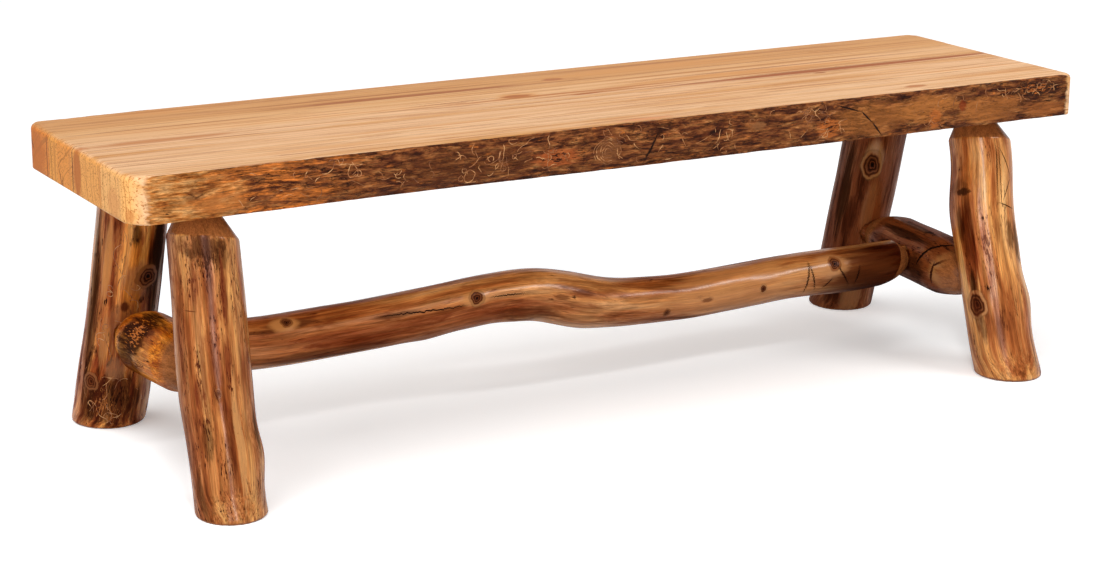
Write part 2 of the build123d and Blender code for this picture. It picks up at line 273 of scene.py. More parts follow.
def crackFigure():
    # a drying crack: Y in mm across it, Z in half lengths, widest in its middle
    group, given = newGroup("crackFigure",
                            {"Place": "NodeSocketVector", "HalfWidth": "NodeSocketFloat",
                             "Jag": "NodeSocketFloat", "JagRate": "NodeSocketFloat"},
                            {"Mask": "NodeSocketFloat"})
    parts = addNode(group, "ShaderNodeSeparateXYZ", {}, {0: given.outputs["Place"]})
    rate = addNode(group, "ShaderNodeMath", {"operation": "MULTIPLY"},
                   {0: parts.outputs["Z"], 1: given.outputs["JagRate"]})
    jagged = addNode(group, "ShaderNodeTexNoise", {"noise_dimensions": "1D", "Detail": 3.0}, {"W": rate})
    jag = addNode(group, "ShaderNodeMath", {"operation": "SUBTRACT", 1: 0.5}, {0: jagged})
    line = addNode(group, "ShaderNodeMath", {"operation": "MULTIPLY_ADD"},
                   {0: jag, 1: given.outputs["Jag"], 2: parts.outputs["Y"]})
    off = addNode(group, "ShaderNodeMath", {"operation": "ABSOLUTE"}, {0: line})
    square = addNode(group, "ShaderNodeMath", {"operation": "POWER", 1: 2.0}, {0: parts.outputs["Z"]})
    taper = addNode(group, "ShaderNodeMath", {"operation": "SUBTRACT", 0: 1.0}, {1: square})
    width = addNode(group, "ShaderNodeMath", {"operation": "MULTIPLY"},
                    {0: taper, 1: given.outputs["HalfWidth"]})
    depth = addNode(group, "ShaderNodeMath", {"operation": "SUBTRACT"}, {0: width, 1: off})
    gaping = addNode(group, "ShaderNodeMapRange", {"From Min": -0.25, "From Max": 0.35}, {"Value": depth})
    mask = onOwnSide(group, given.outputs["Place"], gaping, (4.0, 8.0))
    addNode(group, "NodeGroupOutput", {}, {"Mask": mask})
    return group


def blotchFigure():
    # a stain with a ragged, soft edge, in units of its own half size
    group, given = newGroup("blotchFigure", {"Place": "NodeSocketVector", "Ragged": "NodeSocketFloat"},
                            {"Mask": "NodeSocketFloat"})
    away = middleDistance(group, given.outputs["Place"])[1]
    worn = addNode(group, "ShaderNodeMapping", {"Scale": (0.2, 3.2, 1.4)}, {"Vector": given.outputs["Place"]})
    ragged = addNode(group, "ShaderNodeTexNoise", {"Scale": 1.0, "Detail": 4.0, "Roughness": 0.62},
                     {"Vector": worn})
    push = addNode(group, "ShaderNodeMath", {"operation": "SUBTRACT", 1: 0.5}, {0: ragged})
    distance = addNode(group, "ShaderNodeMath", {"operation": "MULTIPLY_ADD"},
                       {0: push, 1: given.outputs["Ragged"], 2: away})
    inside = addNode(group, "ShaderNodeMapRange",
                     {"From Min": 0.55, "From Max": 1.05, "To Min": 1.0, "To Max": 0.0,
                      "interpolation_type": "SMOOTHSTEP"}, {"Value": distance})
    mask = onOwnSide(group, given.outputs["Place"], inside, (0.0, 12.0))
    addNode(group, "NodeGroupOutput", {}, {"Mask": mask})
    return group


def flecksFigure():
    # a flock of small dark dashes along the grain, thickest in its middle
    group, given = newGroup("flecksFigure", {"Place": "NodeSocketVector", "Grain": "NodeSocketVector"},
                            {"Mask": "NodeSocketFloat"})
    away = middleDistance(group, given.outputs["Place"])[1]
    thick = addNode(group, "ShaderNodeMapRange",
                    {"From Min": 0.0, "From Max": 1.1, "To Min": 0.17, "To Max": -0.1}, {"Value": away})
    # a dash is about 2 mm across the grain and 11 mm along it
    drawn = addNode(group, "ShaderNodeMapping", {"Scale": (1 / 2.0, 1 / 2.0, 1 / 11)},
                    {"Vector": given.outputs["Grain"]})
    dash = addNode(group, "ShaderNodeTexNoise", {"Scale": 1.0, "Detail": 3.0, "Roughness": 0.6},
                   {"Vector": drawn})
    both = addNode(group, "ShaderNodeMath", {"operation": "ADD"}, {0: dash, 1: thick})
    inside = addNode(group, "ShaderNodeMapRange", {"From Min": 0.60, "From Max": 0.66}, {"Value": both})
    mask = onOwnSide(group, given.outputs["Place"], inside, (0.0, 12.0))
    addNode(group, "NodeGroupOutput", {}, {"Mask": mask})
    return group


# mm: the planes that the seat's figures lie in, set a little into the wood, so that none shows elsewhere
figurePlanes = {"top": 440, "leftEnd": -742, "front": -180}


def onLog(kind, along, direction, size, tilt=0, **more):
    # a figure on a log: mm from its low, rear or left end, degrees round it, half sizes across and along it
    return {"kind": kind, "at": (0, 0, along), "turn": (tilt, 0, direction), "size": size, **more}


def onTop(kind, x, y, size, tilt=0, **more):
    # a figure on the seat's top: half sizes across the grain and along it
    return {"kind": kind, "at": (x, y, figurePlanes["top"]), "turn": (tilt, -90, 0), "size": size, **more}


def onEnd(kind, y, z, size, tilt=0, **more):
    # a figure on the seat's left end: half sizes across and up
    return {"kind": kind, "at": (figurePlanes["leftEnd"], y, z), "turn": (tilt, 0, 180), "size": size, **more}


def onFront(kind, x, z, size, tilt=0, **more):
    # a figure on the front edge: half sizes up and along
    at = (x, figurePlanes["front"], z)
    return {"kind": kind, "at": at, "turn": (90 + tilt, 0, -90), "size": size, **more}


figures = {"knot": knotFigure(), "crack": crackFigure(), "blotch": blotchFigure(), "flecks": flecksFigure()}
# what a figure is like where its own line doesn't say
figureLook = {
    "color": "1C0E07",
    "collar": "8E5228",       # the pale wood that a knot sits in
    "strength": 1.0,
    "blend": "MIX",
    "ragged": 1.2,
    "jag": 3.0,               # mm that a crack wanders
    "jagRate": 4.0,           # bends in half a crack
    "knotHeight": 1.2,        # of the bump's own depth, as is the crack's
    "crackHeight": -2.0,
}


def addFigures(tree, place, spots, color, height, alongX=False):
    # lays each knot, crack, blotch and flock of flecks over the colour and the height so far
    turned = addNode(tree, "ShaderNodeMapping", {"Rotation": (0, math.pi / 2, 0)}, {"Vector": place})
    for spot in spots:
        spot = {**figureLook, **spot}
        kind = spot["kind"]
        size = spot["size"]
        scale = (1, 1, size[1]) if kind == "crack" else (1, size[0], size[1])
        own = addNode(tree, "ShaderNodeMapping",
                      {"vector_type": "TEXTURE", "Location": spot["at"], "Scale": scale,
                       "Rotation": [math.radians(angle) for angle in spot["turn"]]}, {"Vector": place})
        settings = {"node_tree": figures[kind]}
        links = {"Place": own}
        if kind == "crack":
            settings.update({"HalfWidth": size[0], "Jag": spot["jag"], "JagRate": spot["jagRate"]})
        if kind == "knot":
            settings["Collar"] = hexColor(spot["collar"])
        if kind == "blotch":
            settings["Ragged"] = spot["ragged"]
        if kind == "flecks":
            links["Grain"] = turned if alongX else place
        figure = addNode(tree, "ShaderNodeGroup", settings, links)
        mask = addNode(tree, "ShaderNodeMath", {"operation": "MULTIPLY", 1: spot["strength"]},
                       {0: figure.outputs["Mask"]})
        paint = {"blend_type": spot["blend"], "Color2": hexColor(spot["color"])}
        links = {"Fac": mask, "Color1": color}
        if kind == "knot":
            links["Color2"] = figure.outputs["Color"]
        color = addNode(tree, "ShaderNodeMixRGB", paint, links)
        if kind == "knot":
            height = addNode(tree, "ShaderNodeMath", {"operation": "MULTIPLY_ADD", 1: spot["knotHeight"]},
                             {0: figure.outputs["Height"], 2: height})
        if kind == "crack":
            height = addNode(tree, "ShaderNodeMath", {"operation": "MULTIPLY_ADD", 1: spot["crackHeight"]},
                             {0: mask, 2: height})
    return color, height


logShape = {
    "voxel": 2.4,             # mm, the mesh that the carving is done in
    "smoothing": 3,           # rounds that take the voxels' steps off
    "slab": 12.0,             # mm, the slices that the log's middle line is measured in
    "rippleHeight": 0.9,      # mm
    "rippleSize": (22, 70),   # mm, across the log and along it
    "flatCount": 7,           # drawknife flats on each log
    "flatSpan": (0.1, 0.9),   # the shares of the log's length that their middles lie between
    "flatDepth": (0.2, 0.8),  # mm
    "flatLength": (110, 260),    # mm
    "cutSlope": 0.18,         # a face that looks this much along the log counts as sawn or shaved
    "cutFade": 0.2,
    "cutReach": 130,          # mm from an end, past which nothing is sawn
}

darkBrown = "2C1308"
redBrown = "5E2410"

# run is the way that a log goes, from its low, rear or left end, and zeroSide where its degrees start;
# each of the spots is one figure
logs = {
    "front_left_leg": {
        "run": (0, 0, 1), "zeroSide": (1, 0, 0), "seed": 3, "flockFrom": 0.47,
        "tones": [(0.32, "622A10"), (0.43, "944E20"), (0.54, "B87338"), (0.68, "D29652")],
        "spots": [
            onLog("blotch", 362, 250, (36, 20), color="3A1C0E", strength=0.75, ragged=2.2),
            onLog("flecks", 344, 250, (34, 34), color="2C1308", strength=0.8),
            onLog("blotch", 350, 276, (12, 24), color=darkBrown, strength=0.55),
            onLog("blotch", 368, 212, (12, 12), color=redBrown, strength=0.5),
            onLog("flecks", 306, 272, (6, 62), color=darkBrown),
            onLog("blotch", 300, 274, (5, 60), color=redBrown, strength=0.85),
            onLog("blotch", 200, 232, (4, 90), color="6A2E14", strength=0.6, ragged=1.6),
            onLog("blotch", 110, 276, (7, 100), color="D49A5A", strength=0.5, ragged=1.4),
            onLog("blotch", 217, 272, (6, 34), color="5E2210", strength=0.65, ragged=1.9),
            onLog("blotch", 176, 222, (8, 26), color="5E2210", strength=0.65, ragged=1.9),
            onLog("flecks", 318, 224, (9, 34), color="44170B"),
            onLog("flecks", 205, 224, (8, 46), color="44170B"),
            onLog("flecks", 128, 226, (14, 34), color="44170B"),
            onLog("blotch", 312, 228, (6, 30), color="5E2210", strength=0.55, ragged=1.9),
            onLog("blotch", 112, 224, (9, 34), color=darkBrown, strength=0.6),
            onLog("flecks", 186, 272, (6, 40), color="44170B"),
            onLog("blotch", 118, 318, (7, 40), color=darkBrown, strength=0.75),
            onLog("blotch", 40, 196, (9, 40), color=darkBrown, strength=0.6),
            onLog("crack", 262, 205, (0.7, 34), jag=4, color=redBrown),
            onLog("crack", 282, 218, (0.6, 9), tilt=80, jag=3, color=redBrown),
            onLog("knot", 172, 252, (6, 8), rise=0.6, strength=0.7),
            onLog("crack", 170, 249, (0.8, 12), tilt=14, jag=5, jagRate=9, color="44170B"),
            onLog("flecks", 330, 186, (5, 16), color="7A2410"),
        ],
    },
    "front_right_leg": {
        "run": (0, 0, 1), "zeroSide": (1, 0, 0), "seed": 8, "flockFrom": 0.54,
        "tones": [(0.32, "6C3112"), (0.43, "AC5E28"), (0.54, "D48C46"), (0.68, "EEB26E")],
        "spots": [
            onLog("blotch", 300, 196, (15, 7), color=darkBrown, strength=0.85),
            onLog("blotch", 308, 184, (22, 15), color=darkBrown, strength=0.45),
            onLog("blotch", 238, 200, (11, 60), color="4A1D0C", strength=0.6),
            onLog("blotch", 250, 186, (8, 36), color=darkBrown, strength=0.7),
            onLog("blotch", 155, 196, (7, 34), color=darkBrown, strength=0.85),
            onLog("blotch", 90, 204, (6, 30), color=darkBrown, strength=0.6),
            onLog("blotch", 78, 232, (7, 34), color="6A3416", strength=0.6),
            onLog("flecks", 96, 240, (9, 40), color="5A2A12"),
            onLog("crack", 330, 262, (0.8, 46), tilt=-1, jag=3, color=darkBrown),
            onLog("crack", 318, 269, (0.8, 58), tilt=1, jag=3, color=darkBrown),
            onLog("crack", 338, 284, (0.9, 26), tilt=26, jag=3, color=darkBrown),
            onLog("crack", 298, 286, (0.9, 22), tilt=-30, jag=3, color=darkBrown),
            onLog("crack", 271, 283, (0.9, 18), tilt=68, jag=3, color=darkBrown),
            onLog("blotch", 225, 283, (8, 28), color=darkBrown, strength=0.7),
            onLog("blotch", 215, 300, (8, 40), color=darkBrown, strength=0.75),
            onLog("blotch", 236, 256, (4, 26), color="7A4A22", strength=0.5),
            onLog("knot", 125, 197, (19, 25), rise=1.8, collar="C08048"),
            onLog("blotch", 108, 196, (8, 34), color="4A1D0C", strength=0.6),
            onLog("flecks", 210, 232, (18, 70), color="5A2412", strength=0.8),
            onLog("blotch", 210, 196, (16, 90), blend="MULTIPLY", color="B08470", ragged=1.4),
            onLog("flecks", 150, 226, (16, 8), color=darkBrown),
            onLog("crack", 34, 300, (0.8, 14), tilt=4, jag=2, color=darkBrown),
            onLog("crack", 257, 232, (1.1, 3.5), jag=1, color=darkBrown),
        ],
    },
    "rear_left_leg": {
        "run": (0, 0, 1), "zeroSide": (1, 0, 0), "seed": 14, "barkFrom": 0.60, "innerBarkFrom": 0.53,
        "innerBark": "7E3212", "flockFrom": 0.52,
        "tones": [(0.35, "4A1A06"), (0.44, "984614"), (0.53, "D47C2C"), (0.64, "ECA450")],
        "spots": [
            onLog("blotch", 296, 213, (9, 84), color="C98138", strength=0.75, ragged=1.0),
            onLog("blotch", 170, 222, (8, 50), color="BE7B3A", strength=0.5),
            onLog("blotch", 250, 186, (10, 150), color=darkBrown, strength=0.75),
            onLog("blotch", 322, 300, (13, 64), color=darkBrown, strength=0.9),
            onLog("blotch", 348, 258, (8, 22), color=darkBrown, strength=0.8),
            onLog("blotch", 228, 300, (10, 60), color=darkBrown, strength=0.75),
            onLog("blotch", 276, 272, (30, 34), color="8A5430", strength=0.75, ragged=0.8),
            onLog("blotch", 210, 252, (26, 40), color="7E4A28", strength=0.6),
            onLog("blotch", 78, 248, (44, 60), color="32120A", strength=0.85, ragged=1.8),
            onLog("flecks", 74, 244, (40, 50), color="B86A2C", strength=0.8),
            onLog("blotch", 300, 300, (20, 90), color="1E0B05", strength=0.75, ragged=1.6),
            onLog("blotch", 180, 196, (9, 150), color="2A1007", strength=0.8, ragged=1.6),
            onLog("blotch", 60, 208, (16, 40), color=darkBrown, strength=0.6),
            onLog("flecks", 84, 252, (34, 44), color="240C05"),
            onLog("blotch", 130, 244, (16, 22), color="8E5C38", strength=0.6),
            onLog("blotch", 232, 250, (7, 10), color="3A0E06", strength=0.85, ragged=0.8),
            onLog("flecks", 234, 218, (8, 14), color=darkBrown),
            onLog("knot", 279, 283, (19, 21), rise=2.0),
            onLog("knot", 100, 209, (15, 16), rise=1.2, strength=0.85),
        ],
    },
    "rear_right_leg": {
        "run": (0, 0, 1), "zeroSide": (1, 0, 0), "seed": 21, "barkFrom": 0.64, "innerBarkFrom": 0.48,
        "flockFrom": 0.56,
        # these tones are darker than the other logs': painted shade for a leg that stands in the seat's
        # shadow
        "tones": [(0.30, "3E1A0B"), (0.43, "6A3216"), (0.57, "8E4E26"), (0.74, "AE6C3A")],
        "spots": [
            onLog("blotch", 250, 192, (13, 110), color="240F07", strength=0.85),
            onLog("blotch", 205, 214, (14, 44), color="3A170A", strength=0.6),
            onLog("blotch", 60, 246, (20, 46), color="A06A3A", strength=0.5),
            onLog("blotch", 70, 208, (16, 40), color="34140A", strength=0.7),
            onLog("blotch", 230, 244, (12, 60), color="9A6036", strength=0.5),
            onLog("blotch", 318, 236, (18, 40), color="B98450", strength=0.7, ragged=0.5),
            onLog("knot", 307, 235, (19, 29), rise=2.4, collar="AE7440"),
        ],
    },
    "left_side_stretcher": {
        "run": (0, -1, 0), "zeroSide": (0, 0, 1), "seed": 5, "flockFrom": 0.50, "gloss": 0.25,
        "tones": [(0.30, "8C3808"), (0.44, "BE6012"), (0.56, "DC8022"), (0.70, "E99C44")],
        "spots": [
            onLog("blotch", 170, 48, (44, 58), color="2A0F06", strength=0.95, ragged=1.6),
            onLog("blotch", 148, 84, (36, 36), color=darkBrown, strength=0.6),
            onLog("flecks", 196, 46, (30, 34), color="240C05"),
            onLog("blotch", 222, 52, (26, 26), color="7A3A18", strength=0.5, ragged=1.8),
            onLog("flecks", 172, 50, (40, 44), color="C46A1E", strength=0.8),
            onLog("flecks", 262, 78, (40, 50), color="7E300E", strength=0.7),
            onLog("blotch", 150, 118, (26, 60), color=darkBrown, strength=0.6),
        ],
    },
    "right_side_stretcher": {
        "run": (0, -1, 0), "zeroSide": (0, 0, 1), "seed": 12, "innerBarkFrom": 0.44, "barkFrom": 0.58,
        # these tones are darker than the other logs': partly darker wood, partly painted shade from the seat
        # above
        "tones": [(0.30, "34150A"), (0.43, "5E2B13"), (0.57, "864824"), (0.74, "A86A3A")],
        "spots": [
            onLog("blotch", 170, 40, (9, 70), color="1C0C06", strength=0.8),
            onLog("blotch", 180, 12, (8, 60), color="1C0C06", strength=0.6),
            onLog("blotch", 222, 100, (28, 30), color="240F07", strength=0.7),
            onLog("blotch", 286, 84, (34, 34), color="A8703E", strength=0.85, ragged=0.5),
            onLog("blotch", 286, 84, (9, 20), color=redBrown, strength=0.6),
            onLog("crack", 254, 32, (2.0, 24), tilt=50, jag=4, jagRate=2, color="1C0C06"),
            onLog("crack", 236, 64, (2.2, 23), tilt=64, jag=4, jagRate=2, color="1C0C06"),
            onLog("crack", 274, 62, (2.0, 20), tilt=44, jag=4, jagRate=2, color="3A190B"),
            onLog("crack", 262, 94, (2.2, 20), tilt=84, jag=4, jagRate=2, color="3A190B"),
        ],
    },
    "long_stretcher": {
        "run": (1, 0, 0), "zeroSide": (0, 0, 1), "seed": 17, "flockFrom": 0.60,
        "tones": [(0.32, "73360F"), (0.43, "A05A2A"), (0.54, "C07C40"), (0.68, "D69A60")],
        "spots": [
            onLog("blotch", 170, 70, (80, 200), blend="MULTIPLY", color="D8BCA8", ragged=0.6),
            onLog("blotch", 420, 110, (34, 190), blend="MULTIPLY", color="C8A896", ragged=0.8),
            onLog("blotch", 930, 80, (44, 150), color="CC8C50", strength=0.4, ragged=0.8),
            onLog("blotch", 1260, 90, (90, 170), blend="MULTIPLY", color="6A4636", ragged=0.6),
            onLog("blotch", 185, 42, (9, 46), color="4A2410", strength=0.7),
            onLog("blotch", 150, 52, (4, 60), color="4A2410", strength=0.6),
            onLog("blotch", 240, 128, (14, 130), color="3A190B", strength=0.6),
            onLog("blotch", 345, 64, (5, 44), color="4A2410", strength=0.7),
            onLog("blotch", 560, 120, (16, 60), color="4A2410", strength=0.5),
            onLog("blotch", 651, 64, (6, 22), color="55240F", strength=0.7),
            onLog("blotch", 612, 78, (5, 18), color="55240F", strength=0.7),
            onLog("blotch", 690, 40, (8, 60), color="7A4420", strength=0.5),
            onLog("crack", 390, 68, (1.1, 80), tilt=-4, jag=7, jagRate=2, color="1C0C06"),
            onLog("crack", 522, 70, (1.0, 36), tilt=-2, jag=5, color="1C0C06"),
            onLog("blotch", 176, 40, (15, 26), color="B5763E", strength=0.85, ragged=0.5),
            onLog("knot", 180, 36, (9, 10), rise=0.8),
            onLog("blotch", 473, 64, (13, 30), color="BA7C44", strength=0.8, ragged=0.4),
            onLog("knot", 473, 64, (13, 14), rise=1.6, collar="A8703C"),
            onLog("knot", 971, 90, (8, 7), rise=0.6, collar="B87E4A"),
            onLog("knot", 799, 112, (8, 7), rise=0.6, strength=0.9),
            onLog("blotch", 870, 92, (4, 12), color="55240F", strength=0.7),
            onLog("blotch", 1150, 80, (34, 90), color="5E3016", strength=0.6),
            onLog("blotch", 1150, 118, (26, 90), color="3A1A0C", strength=0.6),
            onLog("blotch", 1100, 60, (22, 40), color="C48852", strength=0.6, ragged=0.6),
            onLog("knot", 1107, 56, (13, 13), rise=1.4, collar="9A5A2E"),
            onLog("crack", 1056, 86, (1.5, 27), tilt=80, jag=11, jagRate=4, color="1C0C06"),
            onLog("crack", 1066, 84, (1.3, 24), tilt=104, jag=10, jagRate=4, color="1C0C06"),
            onLog("crack", 1122, 86, (1.3, 24), tilt=124, jag=9, jagRate=5, color="1C0C06"),
            onLog("crack", 1150, 92, (1.3, 17), tilt=74, jag=10, jagRate=5, color="1C0C06"),
            onLog("crack", 1094, 104, (1.1, 13), tilt=44, jag=7, jagRate=4, color="1C0C06"),
        ],
    },
}


def copyNode(nodeName, pieceName):
    # a merged copy to carve; the node itself stays as it is
    bpy.ops.object.select_all(action="DESELECT")
    node = frame["nodes"][nodeName]
    piece = node.copy()
    piece.data = node.data.copy()
    piece.name = pieceName
    piece.data.name = pieceName
    piece.parent = None
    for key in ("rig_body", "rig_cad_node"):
        del piece[key]
    bpy.context.scene.collection.objects.link(piece)
    piece.select_set(True)
    bpy.context.view_layer.objects.active = piece
    bpy.ops.object.mode_set(mode="EDIT")
    bpy.ops.mesh.select_all(action="SELECT")
    bpy.ops.mesh.remove_doubles(threshold=0.01 * mm)
    bpy.ops.mesh.customdata_custom_splitnormals_clear()
    bpy.ops.object.mode_set(mode="OBJECT")
    return piece


def applyModifier(piece, name, kind, settings):
    modifier = piece.modifiers.new(name, kind)
    for key, value in settings.items():
        setattr(modifier, key, value)
    bpy.ops.object.modifier_apply(modifier=name)


def readPoints(piece, normals=False):
    # each point's place in metres, or the way it faces
    source, field = (piece.data.vertex_normals, "vector") if normals else (piece.data.vertices, "co")
    values = np.zeros(len(source) * 3)
    source.foreach_get(field, values)
    return values.reshape(-1, 3)


def writePoints(piece, points):
    piece.data.vertices.foreach_set("co", points.ravel())
    piece.data.update()


def logPlaces(points, run, zeroSide):
    # each point's place in the straightened log: two ways across it and its distance along it, in mm
    run = np.array(run, float)
    zeroSide = np.array(zeroSide, float)
    for attempt in range(4):    # each turns the run closer to the log's own middle line
        run /= np.linalg.norm(run)
        side = zeroSide - run * (run @ zeroSide)
        side /= np.linalg.norm(side)
        other = np.cross(run, side)
        along = points @ run / mm
        across = points @ side / mm
        beside = points @ other / mm
        lows = np.arange(along.min(), along.max() - logShape["slab"], logShape["slab"])
        rows = []
        for low in lows:
            slab = (along >= low) & (along < low + logShape["slab"])
            rows.append((low + logShape["slab"] / 2, (across[slab].min() + across[slab].max()) / 2,
                         (beside[slab].min() + beside[slab].max()) / 2,
                         (np.ptp(across[slab]) + np.ptp(beside[slab])) / 4))
        rows = np.array(rows)
        middle = rows[len(rows) // 8: -len(rows) // 8]    # without the shaved and sawn ends
        run = run + side * np.polyfit(middle[:, 0], middle[:, 1], 1)[0]
        run = run + other * np.polyfit(middle[:, 0], middle[:, 2], 1)[0]
    kernel = np.ones(5) / 5     # evens the middle line out over five slices
    padded = [np.convolve(np.pad(rows[:, column], 2, mode="edge"), kernel, "valid") for column in (1, 2, 3)]
    centerAcross, centerBeside, radius = [np.interp(along, rows[:, 0], values) for values in padded]
    places = np.stack([across - centerAcross, beside - centerBeside, along - along.min()], 1)
    return places, radius, np.stack([side, other, run])


def carveLog(places, radius, look):
    # how far each point moves out of the log, in mm: drawknife flats, ripples and knots
    reach = np.hypot(places[:, 0], places[:, 1])
    angle = np.arctan2(places[:, 1], places[:, 0])
    along = places[:, 2]
    moves = np.zeros(len(places))
    dice = random.Random(look["seed"])
    for number in range(logShape["flatCount"]):
        turn = dice.uniform(0, 2 * math.pi)
        center = dice.uniform(*logShape["flatSpan"]) * along.max()
        length = dice.uniform(*logShape["flatLength"])
        depth = dice.uniform(*logShape["flatDepth"])
        share = np.exp(-((along - center) / (0.6 * length)) ** 4)
        chord = (1 - depth * share / radius) / np.maximum(np.cos(angle - turn), 0.5)
        moves = np.minimum(moves, radius * (chord - 1))
    seed = look["seed"] * 10.0
    wide, long = logShape["rippleSize"]
    ripple = np.array([noise.noise(Vector((x / wide + seed, y / wide, z / long)))
                       for x, y, z in places.tolist()])
    moves += logShape["rippleHeight"] * ripple
    for spot in look["spots"]:
        if spot["kind"] == "knot":    # rise is how many mm the collar stands out round the dished heart
            turn = math.radians(spot["turn"][2])
            aside = reach * np.sin(angle - turn) / spot["size"][0]
            away = np.hypot(aside, (along - spot["at"][2]) / spot["size"][1])
            collar = np.exp(-(away / 1.1) ** 4) - 0.75 * np.exp(-(away / 0.5) ** 2)
            moves += np.where(np.cos(angle - turn) > 0, spot["rise"] * collar, 0)
    return np.where(reach > 0.7 * radius, moves, 0)    # what lies inside, as in a mortise, stays


def storeValues(piece, name, values):
    # a number or a vector for each point, which the material reads by its name
    kind, field = ("FLOAT_VECTOR", "vector") if values.ndim == 2 else ("FLOAT", "value")
    attribute = piece.data.attributes.new(name, kind, "POINT")
    attribute.data.foreach_set(field, values.astype(np.float32).ravel())


carved = {}    # each carved log's points, for what is laid on it later


def makeLog(nodeName, look):
    piece = copyNode(nodeName, nodeName + "_wood")
    applyModifier(piece, "carvingMesh", "REMESH", {"mode": "VOXEL", "voxel_size": logShape["voxel"] * mm})
    applyModifier(piece, "softEdges", "SMOOTH", {"factor": 0.5, "iterations": logShape["smoothing"]})
    points = readPoints(piece)
    normals = readPoints(piece, normals=True)
    places, radius, axes = logPlaces(points, look["run"], look["zeroSide"])
    moves = carveLog(places, radius, look)
    reach = np.maximum(np.hypot(places[:, 0], places[:, 1]), 0.001)    # never 0, as it divides
    outward = (places[:, :1] * axes[0] + places[:, 1:2] * axes[1]) / reach[:, None]
    lowest, highest = (np.array(corner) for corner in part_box(nodeName))
    # the sawn and shaved ends stay flat
    slope = np.abs(normals @ axes[2])
    ends = np.minimum(places[:, 2], places[:, 2].max() - places[:, 2])
    cut = np.clip((slope - logShape["cutSlope"]) / logShape["cutFade"], 0, 1) * (ends < logShape["cutReach"])
    points = points + outward * (moves * (1 - cut) * mm)[:, None]
    writePoints(piece, np.clip(points, lowest, highest))
    storeValues(piece, "logPlace", places)
    carved[piece.name] = (readPoints(piece), places, axes)
    storeValues(piece, "cutFace", cut)
    bpy.ops.object.shade_smooth()
    piece.data.materials.clear()
    piece.data.materials.append(peeledAspen(nodeName + " lacquered peeled aspen", look))
    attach(piece, "root")
    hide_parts(nodeName)
    print(nodeName, "carved:", len(piece.data.polygons), "faces")


def grainPattern(tree, place, pattern, seed, start=None):
    # a drawn-out mottle: size is its grain in mm along each axis, levels are where it starts and is full
    low, high = pattern["levels"]
    if start is not None:
        low, high = start, start + high - low
    shades = pattern.get("shades", (0.0, 1.0))
    shift = seed + pattern.get("shift", 0)
    scale = [1 / value for value in pattern["size"]]
    placed = addNode(tree, "ShaderNodeMapping", {"Location": (shift, shift / 3, -shift), "Scale": scale},
                     {"Vector": place})
    mottle = addNode(tree, "ShaderNodeTexNoise",
                     {"Scale": 1.0, "Detail": pattern.get("detail", 4.0), "Roughness": 0.62},
                     {"Vector": placed})
    return addNode(tree, "ShaderNodeMapRange",
                   {"From Min": low, "From Max": high, "To Min": shades[0], "To Max": shades[1]},
                   {"Value": mottle})


def swayed(tree, place, sway, seed):
    # bends the grain a little, by up to half its reach, so that no streak runs dead straight
    placed = addNode(tree, "ShaderNodeMapping",
                     {"Location": (seed, 0, 0), "Scale": [1 / value for value in sway["size"]]},
                     {"Vector": place})
    wander = addNode(tree, "ShaderNodeTexNoise", {"Scale": 1.0, "Detail": 2.0}, {"Vector": placed})
    around = addNode(tree, "ShaderNodeVectorMath", {"operation": "SUBTRACT", 1: (0.5, 0.5, 0.5)},
                     {0: wander.outputs["Color"]})
    wide = addNode(tree, "ShaderNodeVectorMath", {"operation": "MULTIPLY", 1: sway["reach"]}, {0: around})
    return addNode(tree, "ShaderNodeVectorMath", {"operation": "ADD"}, {0: place, 1: wide}).outputs[0]


def stained(tree, color, tint, share, strength=1.0):
    # lays a tint over a colour by a share between 0 and 1, thinned by its strength
    thinned = addNode(tree, "ShaderNodeMath", {"operation": "MULTIPLY", 1: strength}, {0: share})
    return addNode(tree, "ShaderNodeMixRGB", {"Color2": hexColor(tint)}, {"Fac": thinned, "Color1": color})


def stackedHeight(tree, layers):
    # adds patterns up, each times its own height; below zero a pattern sinks into the wood
    height = None
    for pattern, amount in layers:
        links = {0: pattern} if height is None else {0: pattern, 2: height}
        height = addNode(tree, "ShaderNodeMath", {"operation": "MULTIPLY_ADD", 1: amount, 2: 0.0}, links)
    return height


logLook = {
    "innerBark": "7A3C1A",    # red-brown inner bark that the drawknife missed
    "bark": "2B1208",
    "flecks": "34110A",
    "cutColor": "9A5C30",     # the sawn and shaved ends
    "gloss": 0.8,             # the coat on the palest wood; on dark bark there is next to none
    # patterns, with their sizes in mm: twice across the log, then along it
    "sway": {"size": (48, 48, 150), "reach": (9, 9, 24)},    # how far and how slowly the grain wanders
    "band": {"size": (24, 24, 230), "levels": (0.0, 1.0), "detail": 5.0},
    "streak": {"size": (5.5, 5.5, 150), "levels": (0.30, 0.62), "shift": 5, "shades": (0.56, 1.12)},
    # real fibres are far finer, and these are as coarse as it takes to show
    "fibre": {"size": (1.5, 1.5, 50), "levels": (0.3, 0.7), "shift": 9, "detail": 5.0,
              "shades": (0.50, 1.30)},
    "veil": {"size": (17, 17, 62), "levels": (0.56, 0.70), "shift": 13, "detail": 7.0},
    "patch": {"size": (13, 13, 36), "levels": (0.68, 0.75), "shift": 21, "detail": 8.0},
    "fleck": {"size": (1.9, 1.9, 12), "levels": (0.57, 0.63), "shift": 31, "detail": 3.0},
    "halo": {"size": (2.6, 2.6, 16), "levels": (0.52, 0.62), "shift": 31, "detail": 3.0},
    "flock": {"size": (13, 13, 70), "levels": (0.49, 0.58), "shift": 41, "detail": 3.0},
}


